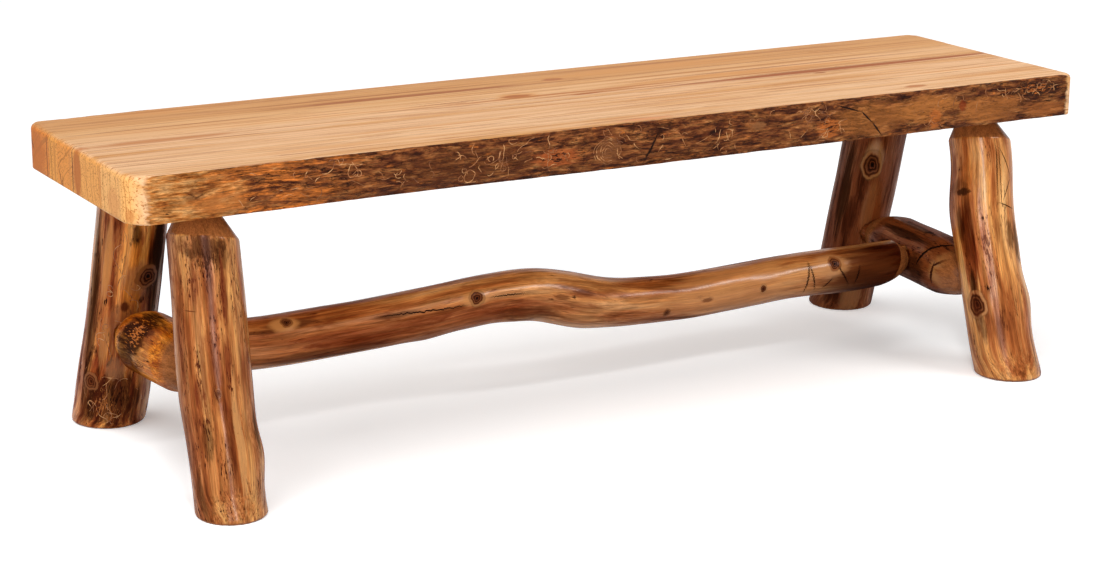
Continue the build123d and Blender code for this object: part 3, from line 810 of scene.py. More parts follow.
def peeledAspen(name, look):
    # aspen peeled of its bark and lacquered: amber sapwood in soft streaks, veils of red-brown inner bark,
    # near-black remains of bark and small dark flecks in rows; a satin coat that shows soft window lights
    look = {**logLook, **look}
    material, tree = newTree(name)
    place = addNode(tree, "ShaderNodeAttribute", {"attribute_name": "logPlace"}).outputs["Vector"]
    seed = look["seed"] * 37.0
    grain = swayed(tree, place, look["sway"], seed)
    band = grainPattern(tree, grain, look["band"], seed)
    color = addNode(tree, "ShaderNodeValToRGB", {"stops": look["tones"]}, {"Fac": band})
    streak = grainPattern(tree, grain, look["streak"], seed)
    fibre = grainPattern(tree, grain, look["fibre"], seed)
    grainLines = addNode(tree, "ShaderNodeMath", {"operation": "MULTIPLY"}, {0: streak, 1: fibre})
    color = addNode(tree, "ShaderNodeMixRGB", {"blend_type": "MULTIPLY", "Fac": 1.0},
                    {"Color1": color, "Color2": grainLines})
    veil = grainPattern(tree, grain, look["veil"], seed, look.get("innerBarkFrom"))
    color = stained(tree, color, look["innerBark"], veil, 0.8)
    patch = grainPattern(tree, grain, look["patch"], seed, look.get("barkFrom"))
    color = stained(tree, color, look["bark"], patch, 0.9)
    fleck = grainPattern(tree, grain, look["fleck"], seed)
    halo = grainPattern(tree, grain, look["halo"], seed)
    flock = grainPattern(tree, grain, look["flock"], seed, look.get("flockFrom"))
    dashes = addNode(tree, "ShaderNodeMath", {"operation": "MULTIPLY"}, {0: fleck, 1: flock})
    halos = addNode(tree, "ShaderNodeMath", {"operation": "MULTIPLY"}, {0: halo, 1: flock})
    color = stained(tree, color, look["innerBark"], halos, 0.7)
    color = stained(tree, color, look["flecks"], dashes)
    height = stackedHeight(tree, [(fibre, 0.5), (dashes, -0.5), (patch, 0.5), (veil, 0.3)])
    color, height = addFigures(tree, place, look["spots"], color, height)
    brightness = addNode(tree, "ShaderNodeRGBToBW", {}, {"Color": color})
    gloss = addNode(tree, "ShaderNodeMapRange",
                    {"From Min": 0.02, "From Max": 0.2, "To Min": 0.03, "To Max": look["gloss"]},
                    {"Value": brightness})
    cut = addNode(tree, "ShaderNodeAttribute", {"attribute_name": "cutFace"})
    worked = addNode(tree, "ShaderNodeMixRGB",
                     {"blend_type": "MULTIPLY", "Fac": 0.8, "Color1": hexColor(look["cutColor"])},
                     {"Color2": grainLines})
    edge = addNode(tree, "ShaderNodeMapRange", {"From Min": 0.3, "From Max": 0.7},
                   {"Value": cut.outputs["Fac"]})
    color = addNode(tree, "ShaderNodeMixRGB", {}, {"Fac": edge, "Color1": color, "Color2": worked})
    roughness = addNode(tree, "ShaderNodeMapRange", {"To Min": 0.34, "To Max": 0.5}, {"Value": veil})
    bump = addNode(tree, "ShaderNodeBump", {"Strength": 0.5, "Distance": 1.2 * mm}, {"Height": height})
    shader = addNode(tree, "ShaderNodeBsdfPrincipled",
                     {"IOR": 1.5, "Specular IOR Level": 0.0, "Coat Roughness": 0.24, "Coat IOR": 1.4},
                     {"Base Color": color, "Roughness": roughness, "Normal": bump, "Coat Weight": gloss})
    addNode(tree, "ShaderNodeOutputMaterial", {}, {"Surface": shader})
    return material


for nodeName, look in logs.items():
    makeLog(nodeName, look)

honey = "CC8A48"
heartBrown = "985420"

# pith is where the middle of each board's tree lay: mm across the bench, and mm above the seat's middle;
# edge is the side that keeps the outside of the tree: 1 for the rear, -1 for the front
boards = {
    "rear_edge_board": {
        "seed": 2, "pith": (30, -160), "tone": "CE9459", "edge": 1, "endTone": "D88238",
        "spots": [
            onTop("blotch", -235, 116, (9, 260), color=heartBrown, strength=0.9, ragged=1.6),
            onTop("blotch", 215, 146, (26, 250), color=honey, strength=0.5),
            onTop("crack", -383, 184, (1.2, 130), tilt=-1, jag=5, color=heartBrown, strength=0.6),
            onTop("crack", -533, 145, (1.0, 42), jag=3, color=heartBrown, strength=0.6),
            onTop("crack", 500, 142, (1.2, 260), tilt=-1.5, jag=5, color=heartBrown, strength=0.5),
            onTop("blotch", -600, 165, (12, 140), color=honey, strength=0.4),
            onTop("blotch", 120, 107, (4, 620), color=heartBrown, strength=0.9, ragged=0.5),
            onTop("blotch", -350, 198, (5, 420), color="C0702E", strength=0.7, ragged=1.8),
            onTop("blotch", 32, 128, (11, 22), color="A8622E", strength=0.9, ragged=0.5),
            onEnd("blotch", 160, 420, (40, 40), color="B86426", strength=0.7),
            onTop("blotch", -300, 140, (5, 300), color=heartBrown, strength=0.5, ragged=1.2),
            onTop("blotch", 300, 170, (6, 380), color=heartBrown, strength=0.5, ragged=1.2),
            onTop("blotch", -560, 180, (7, 160), color="B8702E", strength=0.6, ragged=1.2),
            onEnd("crack", 176, 432, (1.6, 12), tilt=40, jag=3, color="7A3E1C"),
            onEnd("crack", 116, 425, (1.4, 40), jag=2, color="8A4A20"),
        ],
    },
    "narrow_board": {
        "seed": 6, "pith": (260, 20), "tone": "DBA874", "endTone": "E8A050",
        "spots": [
            onTop("blotch", -600, 76, (3, 190), color=heartBrown, strength=0.8, ragged=0.6),
            onTop("blotch", 330, 82, (6, 400), color="B0703A", strength=0.75, ragged=1.2),
            onEnd("crack", 98, 420, (1.0, 34), jag=2, color="A4602A"),
            onEnd("blotch", 84, 425, (4, 40), color="B87038", strength=0.6),
        ],
    },
    "heart_board": {
        "seed": 9, "pith": (-40, -120), "tone": "E0AF7F", "endTone": "E4964A",
        "spots": [
            onTop("crack", -168, 40, (1.6, 90), jag=6, color=heartBrown, strength=0.7),
            onTop("blotch", 330, 44, (10, 300), color=honey, strength=0.7),
            onTop("blotch", 420, 60, (3, 330), color=heartBrown, strength=0.8, ragged=0.6),
            onTop("blotch", -560, 58, (3, 200), color="BE7C40", strength=0.8, ragged=0.6),
            onTop("blotch", -79, 38, (24, 46), color=honey, strength=0.6),
            onTop("blotch", -79, 39, (12, 30), color="A8622E", strength=0.95, ragged=0.4),
            onTop("crack", -79, 27, (1.6, 34), jag=2, color="8A4A20"),
            onTop("blotch", 100, 26, (5, 520), color="B4703A", strength=0.9, ragged=1.2),
            onTop("blotch", -400, 36, (4, 260), color=honey, strength=0.7, ragged=0.8),
            onEnd("crack", 62, 404, (1.3, 17), tilt=24, jag=3, color="8A4A20"),
            onEnd("crack", 55, 398, (1.3, 14), tilt=-8, jag=3, color="8A4A20"),
            onEnd("blotch", 24, 425, (4, 40), color="C88248", strength=0.6),
        ],
    },
    "wide_board": {
        "seed": 13, "pith": (-330, 30), "tone": "E2B387", "endTone": "E8A45A",
        "spots": [
            onTop("blotch", 470, 2, (12, 390), color="964E1E", strength=0.95, ragged=1.2),
            onTop("crack", 470, 14, (1.4, 300), jag=6, color=heartBrown, strength=0.7),
            onTop("crack", 470, -12, (1.2, 320), jag=6, color=heartBrown, strength=0.6),
            onTop("blotch", -640, -4, (13, 130), color="B5723C", strength=0.7, ragged=1.0),
            onTop("crack", -50, -17, (1.2, 150), jag=5, color=heartBrown, strength=0.6),
            onTop("blotch", -290, -92, (6, 190), color=honey, strength=0.6),
            onTop("blotch", 130, -92, (5, 80), color=honey, strength=0.55),
            onTop("blotch", 630, -92, (6, 140), color=honey, strength=0.6),
            onTop("blotch", 24, 10, (6, 34), tilt=3, color="985222", strength=0.95, ragged=0.5),
            onTop("blotch", 60, 12, (4, 170), color="B06A34", strength=0.8, ragged=1.0),
            onTop("blotch", 421, -15, (5, 14), color="9A5628", strength=0.9, ragged=0.5),
            onEnd("blotch", -5, 425, (17, 44), color="B0622C", strength=0.85, ragged=0.6),
            onEnd("crack", 13, 425, (1.8, 40), jag=2, color="7A3E1C"),
            onEnd("blotch", -92, 425, (4, 40), color="C88248", strength=0.6),
        ],
    },
    "front_edge_board": {
        "seed": 19, "pith": (-420, 10), "tone": "E4B689", "edge": -1, "endTone": "EEB26C",
        "spots": [
            onTop("crack", 685, -137, (1.3, 90), jag=4, color="C87A3C", strength=0.7),
            onTop("blotch", 0, -186, (8, 60), color="C8743A", strength=0.6),
            onTop("blotch", 485, -170, (10, 24), color="AE6A34", strength=0.9, ragged=0.5),
            onEnd("blotch", -140, 412, (24, 26), color="D08C50", strength=0.6),
            onEnd("blotch", -182, 404, (8, 10), color="B87038", strength=0.6),
            onTop("blotch", -400, -150, (10, 300), color=honey, strength=0.35),
        ],
        "edgeSpots": [
            onFront("flecks", -560, 425, (18, 60), color="3A160A", strength=0.8),
            onFront("blotch", -676, 427, (9, 14), color="6A3416", strength=0.5, ragged=2.6),
            onFront("crack", -670, 424, (0.5, 12), tilt=24, jag=6, color="5A2A12", strength=0.8),
            onFront("crack", -680, 427, (0.5, 10), tilt=-30, jag=6, color="5A2A12", strength=0.8),
            onFront("blotch", -640, 412, (14, 40), color="B06A34", strength=0.5, ragged=1.6),
            onFront("flecks", -716, 408, (6, 14), color="2C1208"),
            onFront("flecks", -500, 441, (8, 26), color="1F0D06"),
            onFront("blotch", -280, 424, (26, 130), color="4E2812", strength=0.5),
            onFront("blotch", -146, 420, (14, 40), color="A8562A", strength=0.75, ragged=1.8),
            onFront("flecks", -146, 420, (14, 40), color="2C1208"),
            onFront("blotch", -66, 420, (22, 26), color="7A4A2A", strength=0.7),
            onFront("crack", 4, 419, (1.6, 24), tilt=60, jag=5, color="1F0D06"),
            onFront("blotch", 184, 432, (7, 16), color="8E5C36", strength=0.7),
            onFront("blotch", 385, 424, (28, 84), color="A2622E", strength=0.5),
            onFront("blotch", 490, 428, (22, 70), color="B87238", strength=0.6, ragged=1.6),
            onFront("flecks", 520, 420, (18, 80), color="4E2410", strength=0.7),
            onFront("blotch", 600, 418, (22, 70), color="B46E36", strength=0.6, ragged=1.6),
            onFront("flecks", 612, 432, (12, 60), color="4E2410", strength=0.6),
            onFront("blotch", 308, 416, (16, 22), color="B4622C", strength=0.75, ragged=1.8),
            onFront("flecks", 308, 418, (18, 26), color="2C1208"),
            onFront("crack", 342, 442, (1.3, 24), tilt=-17, jag=3, color="1F0D06"),
            onFront("crack", 374, 427, (1.3, 15), tilt=-42, jag=3, color="1F0D06"),
            onFront("crack", 393, 408, (1.3, 15), tilt=-48, jag=3, color="1F0D06"),
            onFront("flecks", 283, 445, (6, 34), color="1F0D06"),
            onFront("blotch", 500, 412, (16, 12), color="B4622C", strength=0.7, ragged=1.8),
            onFront("blotch", 551, 427, (9, 9), color="7A2E10", strength=0.8),
            onFront("blotch", 630, 416, (16, 40), color="8A5026", strength=0.5),
            onFront("blotch", 692, 440, (12, 62), color="241008", strength=0.85),
            onFront("flecks", 692, 440, (14, 62), color="B4622C", strength=0.8),
            onFront("blotch", 710, 408, (12, 46), color="A86230", strength=0.6),
        ],
    },
}


boardLook = {
    "bandColor": "CF9456",
    "lineColor": "A8642C",
    "middleHeight": 425,      # mm, of the seat above the floor
    "ringWidth": 6.0,         # mm
    # patterns, with their sizes in mm along the board, across it and up
    "sway": {"size": (460, 60, 60), "reach": (0, 20, 20)},
    "broad": {"size": (620, 20, 20), "levels": (0.46, 0.66)},
    "few": {"size": (560, 2.6, 2.6), "levels": (0.56, 0.62), "shift": 3, "detail": 3.0},
    "fibre": {"size": (190, 2.6, 2.6), "levels": (0.3, 0.7), "shift": 7, "shades": (0.86, 1.05)},
    "ragged": {"size": (16, 16, 6), "levels": (0.0, 1.0)},    # where planed wood ends and bark side begins
}


def planedAspen(name, look):
    # aspen boards planed, glued up and lacquered: cream sapwood in broad soft honey bands, faint growth
    # lines, brown heart streaks; satin
    look = {**boardLook, **look}
    material, tree = newTree(name)
    place = millimeterPlace(tree)
    seed = look["seed"] * 29.0
    grain = swayed(tree, place, look["sway"], seed)
    broad = grainPattern(tree, grain, look["broad"], seed)
    color = addNode(tree, "ShaderNodeMixRGB",
                    {"Color1": hexColor(look["tone"]), "Color2": hexColor(look["bandColor"])}, {"Fac": broad})
    # growth rings round the tree's middle: a dark line wherever the noise dips
    pith = (0, look["pith"][0], look["middleHeight"] + look["pith"][1])
    fromPith = addNode(tree, "ShaderNodeVectorMath", {"operation": "SUBTRACT", 1: pith}, {0: grain})
    inRing = addNode(tree, "ShaderNodeVectorMath", {"operation": "MULTIPLY", 1: (0, 1, 1)}, {0: fromPith})
    away = addNode(tree, "ShaderNodeVectorMath", {"operation": "LENGTH"}, {0: inRing})
    years = addNode(tree, "ShaderNodeMath", {"operation": "MULTIPLY", 1: 1 / look["ringWidth"]},
                    {0: away.outputs["Value"]})
    ring = addNode(tree, "ShaderNodeTexNoise",
                   {"noise_dimensions": "1D", "Scale": 1.0, "Detail": 3.0, "Roughness": 0.6}, {"W": years})
    late = addNode(tree, "ShaderNodeMapRange", {"From Min": 0.44, "From Max": 0.33}, {"Value": ring})
    facing = addNode(tree, "ShaderNodeTexCoord").outputs["Normal"]
    normal = addNode(tree, "ShaderNodeSeparateXYZ", {}, {0: facing})
    endwise = addNode(tree, "ShaderNodeMath", {"operation": "ABSOLUTE"}, {0: normal})
    endGrain = addNode(tree, "ShaderNodeMapRange", {"From Min": 0.5, "From Max": 0.9}, {"Value": endwise})
    color = stained(tree, color, look["endTone"], endGrain)
    color = stained(tree, color, look["lineColor"], late, 0.3)
    few = grainPattern(tree, grain, look["few"], seed)
    color = stained(tree, color, look["lineColor"], few, 0.9)
    endLines = addNode(tree, "ShaderNodeMath", {"operation": "MULTIPLY"}, {0: late, 1: endGrain})
    color = stained(tree, color, look["lineColor"], endLines, 0.4)
    fibre = grainPattern(tree, grain, look["fibre"], seed)
    color = addNode(tree, "ShaderNodeMixRGB", {"blend_type": "MULTIPLY", "Fac": 1.0},
                    {"Color1": color, "Color2": fibre})
    height = stackedHeight(tree, [(fibre, 0.15)])
    color, height = addFigures(tree, place, look["spots"], color, height)
    roughness = addNode(tree, "ShaderNodeMapRange", {"To Min": 0.42, "To Max": 0.50}, {"Value": fibre})
    if look.get("edge"):
        edgeColor, edgeHeight = barkEdge(tree, place, look)
        edge = addNode(tree, "ShaderNodeAttribute", {"attribute_name": "barkShare"})
        ragged = grainPattern(tree, place, look["ragged"], seed)
        pushed = addNode(tree, "ShaderNodeMath", {"operation": "MULTIPLY_ADD", 1: 0.7},
                         {0: ragged, 2: edge.outputs["Fac"]})
        share = addNode(tree, "ShaderNodeMapRange", {"From Min": 0.62, "From Max": 0.84}, {"Value": pushed})
        color = addNode(tree, "ShaderNodeMixRGB", {}, {"Fac": share, "Color1": color, "Color2": edgeColor})
        lift = addNode(tree, "ShaderNodeMath", {"operation": "MULTIPLY"}, {0: edgeHeight, 1: share})
        height = addNode(tree, "ShaderNodeMath", {"operation": "ADD"}, {0: lift, 1: height})
        roughness = addNode(tree, "ShaderNodeMapRange", {"To Min": 0.45, "To Max": 0.36}, {"Value": share})
    bump = addNode(tree, "ShaderNodeBump", {"Strength": 0.7, "Distance": 1.4 * mm}, {"Height": height})
    shader = addNode(tree, "ShaderNodeBsdfPrincipled", {"IOR": 1.5, "Specular IOR Level": 0.05},
                     {"Base Color": color, "Roughness": roughness, "Normal": bump})
    addNode(tree, "ShaderNodeOutputMaterial", {}, {"Surface": shader})
    return material


barkLook = {
    "tones": [(0.32, "2A1108"), (0.42, "4A2210"), (0.50, "6E3C1E"), (0.60, "90582F"), (0.72, "B07C4A")],
    "gold": [(0.34, "783C14"), (0.42, "985824"), (0.50, "B0723A"), (0.62, "C48E56")],
    "goldSpan": (-560, -750),    # x in mm over which brown turns into the golden left corner
    "flameColor": "C8702E",
    "flameSpan": (-395, -560),   # x in mm over which the orange flames come in
    "plainSpan": (-735, -600),   # x in mm over which the front edge's checks come in
    "crackColor": "1F0D06",
    # patterns, with their sizes in mm along the board, across it and up
    "sway": {"size": (120, 60, 30), "reach": (0, 0, 14)},
    "band": {"size": (32, 30, 7), "levels": (0.0, 1.0), "detail": 9.0},
    "wander": {"size": (60, 30, 9), "levels": (0.3, 0.7), "shift": 3, "detail": 5.0, "shades": (-0.35, 0.35)},
    "flame": {"size": (42, 30, 7), "levels": (0.46, 0.60), "shift": 5, "detail": 6.0},
    "ember": {"size": (26, 30, 7), "levels": (0.60, 0.68), "shift": 27, "detail": 6.0},
    "fibre": {"size": (34, 20, 1.5), "levels": (0.3, 0.7), "shift": 9, "detail": 6.0, "shades": (0.42, 1.46)},
    "grit": {"size": (9, 9, 2.0), "levels": (0.34, 0.66), "shift": 33, "shades": (0.60, 1.34)},
    "ridge": {"size": (40, 30, 6.0), "levels": (0.0, 1.0), "shift": 17},
    "checked": {"size": (44, 40, 14), "levels": (0.42, 0.52), "shift": 23, "detail": 3.0},
}


def wanderingShare(tree, where, span, wander):
    # from none to full over a span of x in mm, with a ragged border
    reach = addNode(tree, "ShaderNodeMapRange",
                    {"From Min": span[0], "From Max": span[1], "clamp": False}, {"Value": where})
    ragged = addNode(tree, "ShaderNodeMath", {"operation": "ADD"}, {0: reach, 1: wander})
    return addNode(tree, "ShaderNodeMapRange", {"From Min": 0.2, "From Max": 0.7}, {"Value": ragged})


def barkEdge(tree, place, look):
    # the tree's own surface under its bark: red-brown along the grain with orange flames, black checks
    # and, towards the left corner, golden wood
    seed = look["seed"] * 11.0
    grain = swayed(tree, place, barkLook["sway"], seed)
    band = grainPattern(tree, grain, barkLook["band"], seed)
    color = addNode(tree, "ShaderNodeValToRGB", {"stops": barkLook["tones"]}, {"Fac": band})
    golden = addNode(tree, "ShaderNodeValToRGB", {"stops": barkLook["gold"]}, {"Fac": band})
    where = addNode(tree, "ShaderNodeSeparateXYZ", {}, {0: place})
    wander = grainPattern(tree, grain, barkLook["wander"], seed)
    flaming = wanderingShare(tree, where, barkLook["flameSpan"], wander)
    flame = grainPattern(tree, grain, barkLook["flame"], seed)
    flames = addNode(tree, "ShaderNodeMath", {"operation": "MULTIPLY"}, {0: flaming, 1: flame})
    color = stained(tree, color, barkLook["flameColor"], flames, 0.8)
    inGold = wanderingShare(tree, where, barkLook["goldSpan"], wander)
    color = addNode(tree, "ShaderNodeMixRGB", {}, {"Fac": inGold, "Color1": color, "Color2": golden})
    ember = grainPattern(tree, grain, barkLook["ember"], seed)
    color = stained(tree, color, barkLook["flameColor"], ember, 0.55)
    fibre = grainPattern(tree, grain, barkLook["fibre"], seed)
    grit = grainPattern(tree, grain, barkLook["grit"], seed)
    for shade in (fibre, grit):
        color = addNode(tree, "ShaderNodeMixRGB", {"blend_type": "MULTIPLY", "Fac": 1.0},
                        {"Color1": color, "Color2": shade})
    # thin black checks run where the ridge noise crosses its middle
    ridge = grainPattern(tree, grain, barkLook["ridge"], seed)
    offRidge = addNode(tree, "ShaderNodeMath", {"operation": "SUBTRACT", 1: 0.5}, {0: ridge})
    offLine = addNode(tree, "ShaderNodeMath", {"operation": "ABSOLUTE"}, {0: offRidge})
    line = addNode(tree, "ShaderNodeMapRange",
                   {"From Min": 0.006, "From Max": 0.022, "To Min": 1.0, "To Max": 0.0}, {"Value": offLine})
    checked = grainPattern(tree, grain, barkLook["checked"], seed)
    checks = addNode(tree, "ShaderNodeMath", {"operation": "MULTIPLY"}, {0: line, 1: checked})
    if look["edge"] < 0:
        low, high = barkLook["plainSpan"]
        plain = addNode(tree, "ShaderNodeMapRange", {"From Min": low, "From Max": high, "To Min": 0.1},
                        {"Value": where})
        checks = addNode(tree, "ShaderNodeMath", {"operation": "MULTIPLY"}, {0: checks, 1: plain})
    color = stained(tree, color, barkLook["crackColor"], checks, 0.8)
    height = stackedHeight(tree, [(band, 1.4), (fibre, 0.5), (grit, 0.4), (checks, -0.9)])
    return addFigures(tree, place, look.get("edgeSpots", []), color, height, alongX=True)


edgeShape = {
    "depth": 9,               # the remesh's halvings of the board's length: cells of about 3 mm
    "reliefHeight": 1.6,      # mm, how deep the hollows of the bark side go
    "reliefLength": 34.0,     # mm, along the board
    "reliefSquash": 2.4,      # how much shorter they are up the edge
    "leftFade": (-752, -716),    # x in mm over which the sanded left corner ends
    "rightFade": (757, 740),
    "smoothAngle": 38,        # degrees, over which an edge stays sharp
}


def makeEdgeBoard(nodeName, look):
    piece = copyNode(nodeName, nodeName + "_wood")
    applyModifier(piece, "carvingMesh", "REMESH", {"mode": "SHARP", "octree_depth": edgeShape["depth"],
                                                   "scale": 0.99, "use_remove_disconnected": False})
    lowest, highest = (np.array(corner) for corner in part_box(nodeName))
    points = readPoints(piece)
    normals = readPoints(piece, normals=True)
    # the share of the bark side: faces that look out over the live edge, between the sanded corners
    share = np.clip((normals[:, 1] * look["edge"] - 0.2) / 0.5, 0, 1)
    for start, full in (edgeShape["leftFade"], edgeShape["rightFade"]):
        share = share * np.clip((points[:, 0] / mm - start) / (full - start), 0, 1)
    # the remesh leaves the flat sides a hair off, so they are put back on the board's box
    for axis in (0, 1, 2):
        for limit in (lowest[axis], highest[axis]):
            near = np.abs(points[:, axis] - limit) < 0.3 * mm
            points[near, axis] = limit
    seed = look["seed"] * 10.0
    long = edgeShape["reliefLength"] * mm
    tall = long / edgeShape["reliefSquash"]
    relief = np.array([noise.fractal(Vector((x / long + seed, seed, z / tall)), 0.6, 2.1, 4)
                       for x, y, z in points.tolist()])
    inward = np.clip(0.55 - relief, 0, 1.6) * edgeShape["reliefHeight"] * share
    points[:, 1] -= look["edge"] * inward * mm
    writePoints(piece, np.clip(points, lowest, highest))
    storeValues(piece, "barkShare", share)
    bpy.ops.object.shade_smooth_by_angle(angle=math.radians(edgeShape["smoothAngle"]))
    piece.data.materials.clear()
    piece.data.materials.append(planedAspen(nodeName + " lacquered aspen board", look))
    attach(piece, "root")
    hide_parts(nodeName)
    print(nodeName, "carved:", len(piece.data.polygons), "faces")


for nodeName, look in boards.items():
    if look.get("edge"):
        makeEdgeBoard(nodeName, look)
    else:
        node = frame["nodes"][nodeName]
        node.data.materials.clear()
        node.data.materials.append(planedAspen(nodeName + " lacquered aspen board", look))
print("seat boards done")

# The winding lines that beetles leave under the bark, as thin raised threads.
galleryLook = {
    "radius": (0.4, 0.8),     # mm
    "tip": 0.35,              # how much of its radius a line keeps at its ends
    "proud": 0.4,             # mm out of the wood
    "step": 2.2,              # mm between two points of a curl
    "firstBend": 0.5,         # radians in a step, at most
    "newBend": 0.35,          # what each step may add to it
    "keptBend": 0.8,          # the share of it that each step keeps
    "edgeHeights": (399, 452),    # mm, the lowest and the highest that a line on the front edge goes
    "edgeFace": -185,         # mm, the y that all of the front edge's face lies before
    "legInside": 35,          # mm from the leg's middle line, within which no point is on its surface
    "tones": [(0.38, "623416"), (0.50, "945C32"), (0.62, "BE8A58")],
    "mottle": {"size": (14, 14, 14), "levels": (0.0, 1.0)},    # mm
}

# Each line runs through points: x and z in mm on the front edge, mm up and degrees round on the leg.
lines = {
    "front_edge_board": [
        [(-470, 427), (-452, 421), (-436, 411)], [(13, 447), (30, 444), (49, 437), (55, 425), (61, 414)],
        [(61, 414), (86, 417), (103, 427)], [(110, 436), (111, 420), (117, 403)],
        [(253, 401), (261, 411), (270, 418)],
        [(-530, 414), (-520, 406), (-512, 410), (-516, 417), (-525, 417)],
        [(-556, 408), (-548, 416), (-540, 411)], [(425, 438), (443, 436), (458, 439)],
        [(345, 405), (360, 412), (372, 410)],
    ],
    "rear_left_leg": [
        [(352, 238), (336, 246), (330, 232), (318, 222), (306, 224), (296, 232), (284, 240)],
        [(284, 240), (268, 250), (262, 268), (270, 288), (262, 296)], [(250, 262), (240, 276), (226, 270)],
        [(206, 214), (196, 210), (180, 222), (160, 232), (148, 238), (146, 216)],
        [(128, 262), (122, 246), (108, 238), (98, 228), (92, 214)],
        [(106, 236), (84, 232), (66, 220), (52, 214)],
        [(96, 284), (84, 296), (72, 300)], [(118, 196), (104, 190), (84, 194), (70, 204)],
    ],
}

# Each tangle: its middle, half sizes, how many curls and how many steps each takes.
tangles = {
    "front_edge_board": [
        {"at": (-469, 442), "reach": (16, 13), "count": 7, "steps": 14, "seed": 1},
        {"at": (-292, 410), "reach": (9, 12), "count": 6, "steps": 12, "seed": 2},
        {"at": (-248, 436), "reach": (50, 12), "count": 11, "steps": 16, "seed": 3},
        {"at": (-148, 420), "reach": (26, 14), "count": 9, "steps": 10, "seed": 4},
        {"at": (-30, 440), "reach": (30, 7), "count": 5, "steps": 12, "seed": 5},
        {"at": (127, 410), "reach": (12, 9), "count": 6, "steps": 8, "seed": 6},
        {"at": (283, 445), "reach": (34, 6), "count": 9, "steps": 12, "seed": 7},
        {"at": (312, 421), "reach": (15, 13), "count": 8, "steps": 9, "seed": 8},
        {"at": (297, 406), "reach": (12, 7), "count": 5, "steps": 8, "seed": 9},
        {"at": (495, 416), "reach": (14, 14), "count": 6, "steps": 8, "seed": 10},
        {"at": (690, 440), "reach": (60, 8), "count": 18, "steps": 10, "seed": 11},
        {"at": (560, 430), "reach": (40, 16), "count": 5, "steps": 8, "seed": 12},
        {"at": (-350, 420), "reach": (70, 22), "count": 14, "steps": 8, "seed": 13},
        {"at": (190, 425), "reach": (90, 22), "count": 16, "steps": 7, "seed": 14},
        {"at": (-560, 424), "reach": (60, 20), "count": 12, "steps": 6, "seed": 15},
        {"at": (0, 420), "reach": (60, 22), "count": 10, "steps": 7, "seed": 16},
        {"at": (-200, 420), "reach": (70, 22), "count": 12, "steps": 7, "seed": 17},
    ],
    "rear_left_leg": [
        {"at": (80, 250), "reach": (34, 36), "count": 9, "steps": 14, "seed": 21},
        {"at": (240, 256), "reach": (26, 30), "count": 6, "steps": 12, "seed": 22},
        {"at": (180, 240), "reach": (40, 30), "count": 5, "steps": 14, "seed": 23},
    ],
}
# open rings round one place on the front edge: radii in mm, sweep in radians
rose = {"at": (-67, 420), "radii": (5, 9, 13, 17, 21), "sweep": (3.6, 5.6), "steps": 15,
        "wobble": 0.132, "seed": 31}


def curls(spots, look, stretch=1.0):
    # short lines that wander inside each tangle; stretch turns a step's mm into the second number's unit
    made = []
    for spot in spots:
        dice = random.Random(spot["seed"])
        for number in range(spot["count"]):
            first = spot["at"][0] + spot["reach"][0] * dice.uniform(-1, 1)
            second = spot["at"][1] + spot["reach"][1] * dice.uniform(-1, 1)
            heading = dice.uniform(0, 2 * math.pi)
            bend = look["firstBend"] * dice.uniform(-1, 1)
            line = []
            for step in range(spot["steps"]):
                line.append((first, second))
                bend = look["keptBend"] * bend + look["newBend"] * dice.uniform(-1, 1)
                heading += bend
                first += look["step"] * math.cos(heading)
                second += look["step"] * math.sin(heading) * stretch
            made.append(line)
    return made


def ringLines(look):
    made = []
    dice = random.Random(look["seed"])
    for radius in look["radii"]:
        start = dice.uniform(0, 6)
        sweep = dice.uniform(*look["sweep"])
        line = []
        for step in range(look["steps"]):
            angle = start + sweep * step / (look["steps"] - 1)
            reach = radius * (1 + look["wobble"] * dice.uniform(-1, 1))
            line.append((look["at"][0] + reach * math.cos(angle), look["at"][1] + reach * math.sin(angle)))
        made.append(line)
    return made


def onBoard(piece, marks):
    # where the carved front edge is at each x and z, and which way is out
    points = readPoints(piece)
    points = points[points[:, 1] < galleryLook["edgeFace"] * mm]
    lowest, highest = galleryLook["edgeHeights"]
    found = []
    for x, z in marks:
        z = min(max(z, lowest), highest)
        near = np.argmin(np.hypot(points[:, 0] - x * mm, points[:, 2] - z * mm))
        found.append((Vector((x * mm, points[near, 1], z * mm)), Vector((0, -1, 0))))
    return found


def onLeg(piece, marks):
    # where the carved leg's surface is at each height and turn, and which way is out
    points, places, axes = carved[piece.name]
    reach = np.hypot(places[:, 0], places[:, 1])
    turn = np.degrees(np.arctan2(places[:, 1], places[:, 0]))
    buried = np.where(reach > galleryLook["legInside"], 0, 1000)    # keeps inner points from being nearest
    found = []
    for along, angle in marks:
        off = np.hypot((turn - angle + 180) % 360 - 180, places[:, 2] - along) + buried
        near = int(np.argmin(off))
        way = math.radians(angle)
        outward = math.cos(way) * axes[0] + math.sin(way) * axes[1]
        own = math.radians(turn[near])
        middle = points[near] - reach[near] * mm * (math.cos(own) * axes[0] + math.sin(own) * axes[1])
        middle = middle + (along - places[near, 2]) * mm * axes[2]
        found.append((Vector(middle + reach[near] * mm * outward), Vector(outward)))
    return found


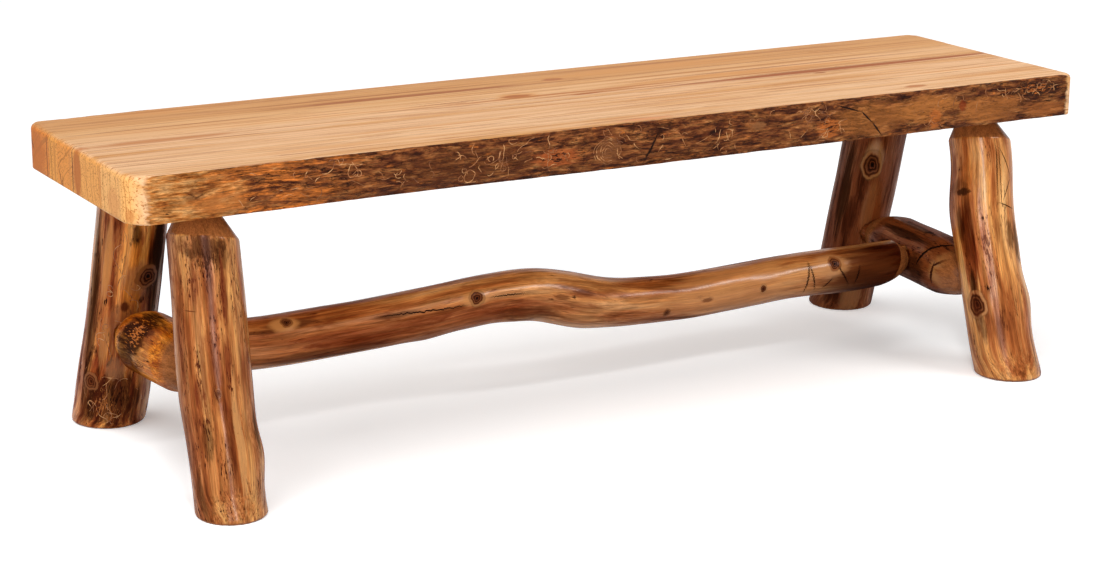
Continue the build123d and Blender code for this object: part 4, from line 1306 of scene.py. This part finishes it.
def makeGalleries(pieceName, marked, finder, name):
    data = bpy.data.curves.new(name, "CURVE")
    data.dimensions = "3D"
    data.bevel_depth = mm
    data.bevel_resolution = 1
    data.resolution_u = 3
    dice = random.Random(len(marked))
    low, high = galleryLook["radius"]
    for marks in marked:
        found = finder(bpy.data.objects[pieceName], marks)
        spline = data.splines.new("NURBS")
        spline.points.add(len(found) - 1)
        spline.order_u = 3
        spline.use_endpoint_u = True
        for number, (place, outward) in enumerate(found):
            radius = dice.uniform(low, high)
            if number in (0, len(found) - 1):
                radius *= galleryLook["tip"]
            place = place + outward * (galleryLook["proud"] - radius) * mm
            spline.points[number].co = (*place, 1.0)
            spline.points[number].radius = radius
    curve = bpy.data.objects.new(name, data)
    bpy.context.scene.collection.objects.link(curve)
    bpy.ops.object.select_all(action="DESELECT")
    curve.select_set(True)
    bpy.context.view_layer.objects.active = curve
    bpy.ops.object.convert(target="MESH")
    bpy.ops.object.shade_smooth()
    piece = bpy.context.active_object
    piece.data.materials.append(galleryWood(name + " pale worm-track wood", galleryLook))
    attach(piece, "root")
    print(name, "laid:", len(marked), "lines")


def galleryWood(name, look):
    # packed bore dust and inner bark in a beetle's track: tan to brown, with a dull surface
    material, tree = newTree(name)
    mottle = grainPattern(tree, millimeterPlace(tree), look["mottle"], 3.0)
    color = addNode(tree, "ShaderNodeValToRGB", {"stops": look["tones"]}, {"Fac": mottle})
    shader = addNode(tree, "ShaderNodeBsdfPrincipled",
                     {"Roughness": 0.5, "IOR": 1.5, "Specular IOR Level": 0.3}, {"Base Color": color})
    addNode(tree, "ShaderNodeOutputMaterial", {}, {"Surface": shader})
    return material


edgeLines = lines["front_edge_board"] + curls(tangles["front_edge_board"], galleryLook) + ringLines(rose)
makeGalleries("front_edge_board_wood", edgeLines, onBoard, "edge_galleries")
degreesPerMm = 1.15    # round the rear left leg
legLines = lines["rear_left_leg"] + curls(tangles["rear_left_leg"], galleryLook, degreesPerMm)
makeGalleries("rear_left_leg_wood", legLines, onLeg, "leg_galleries")
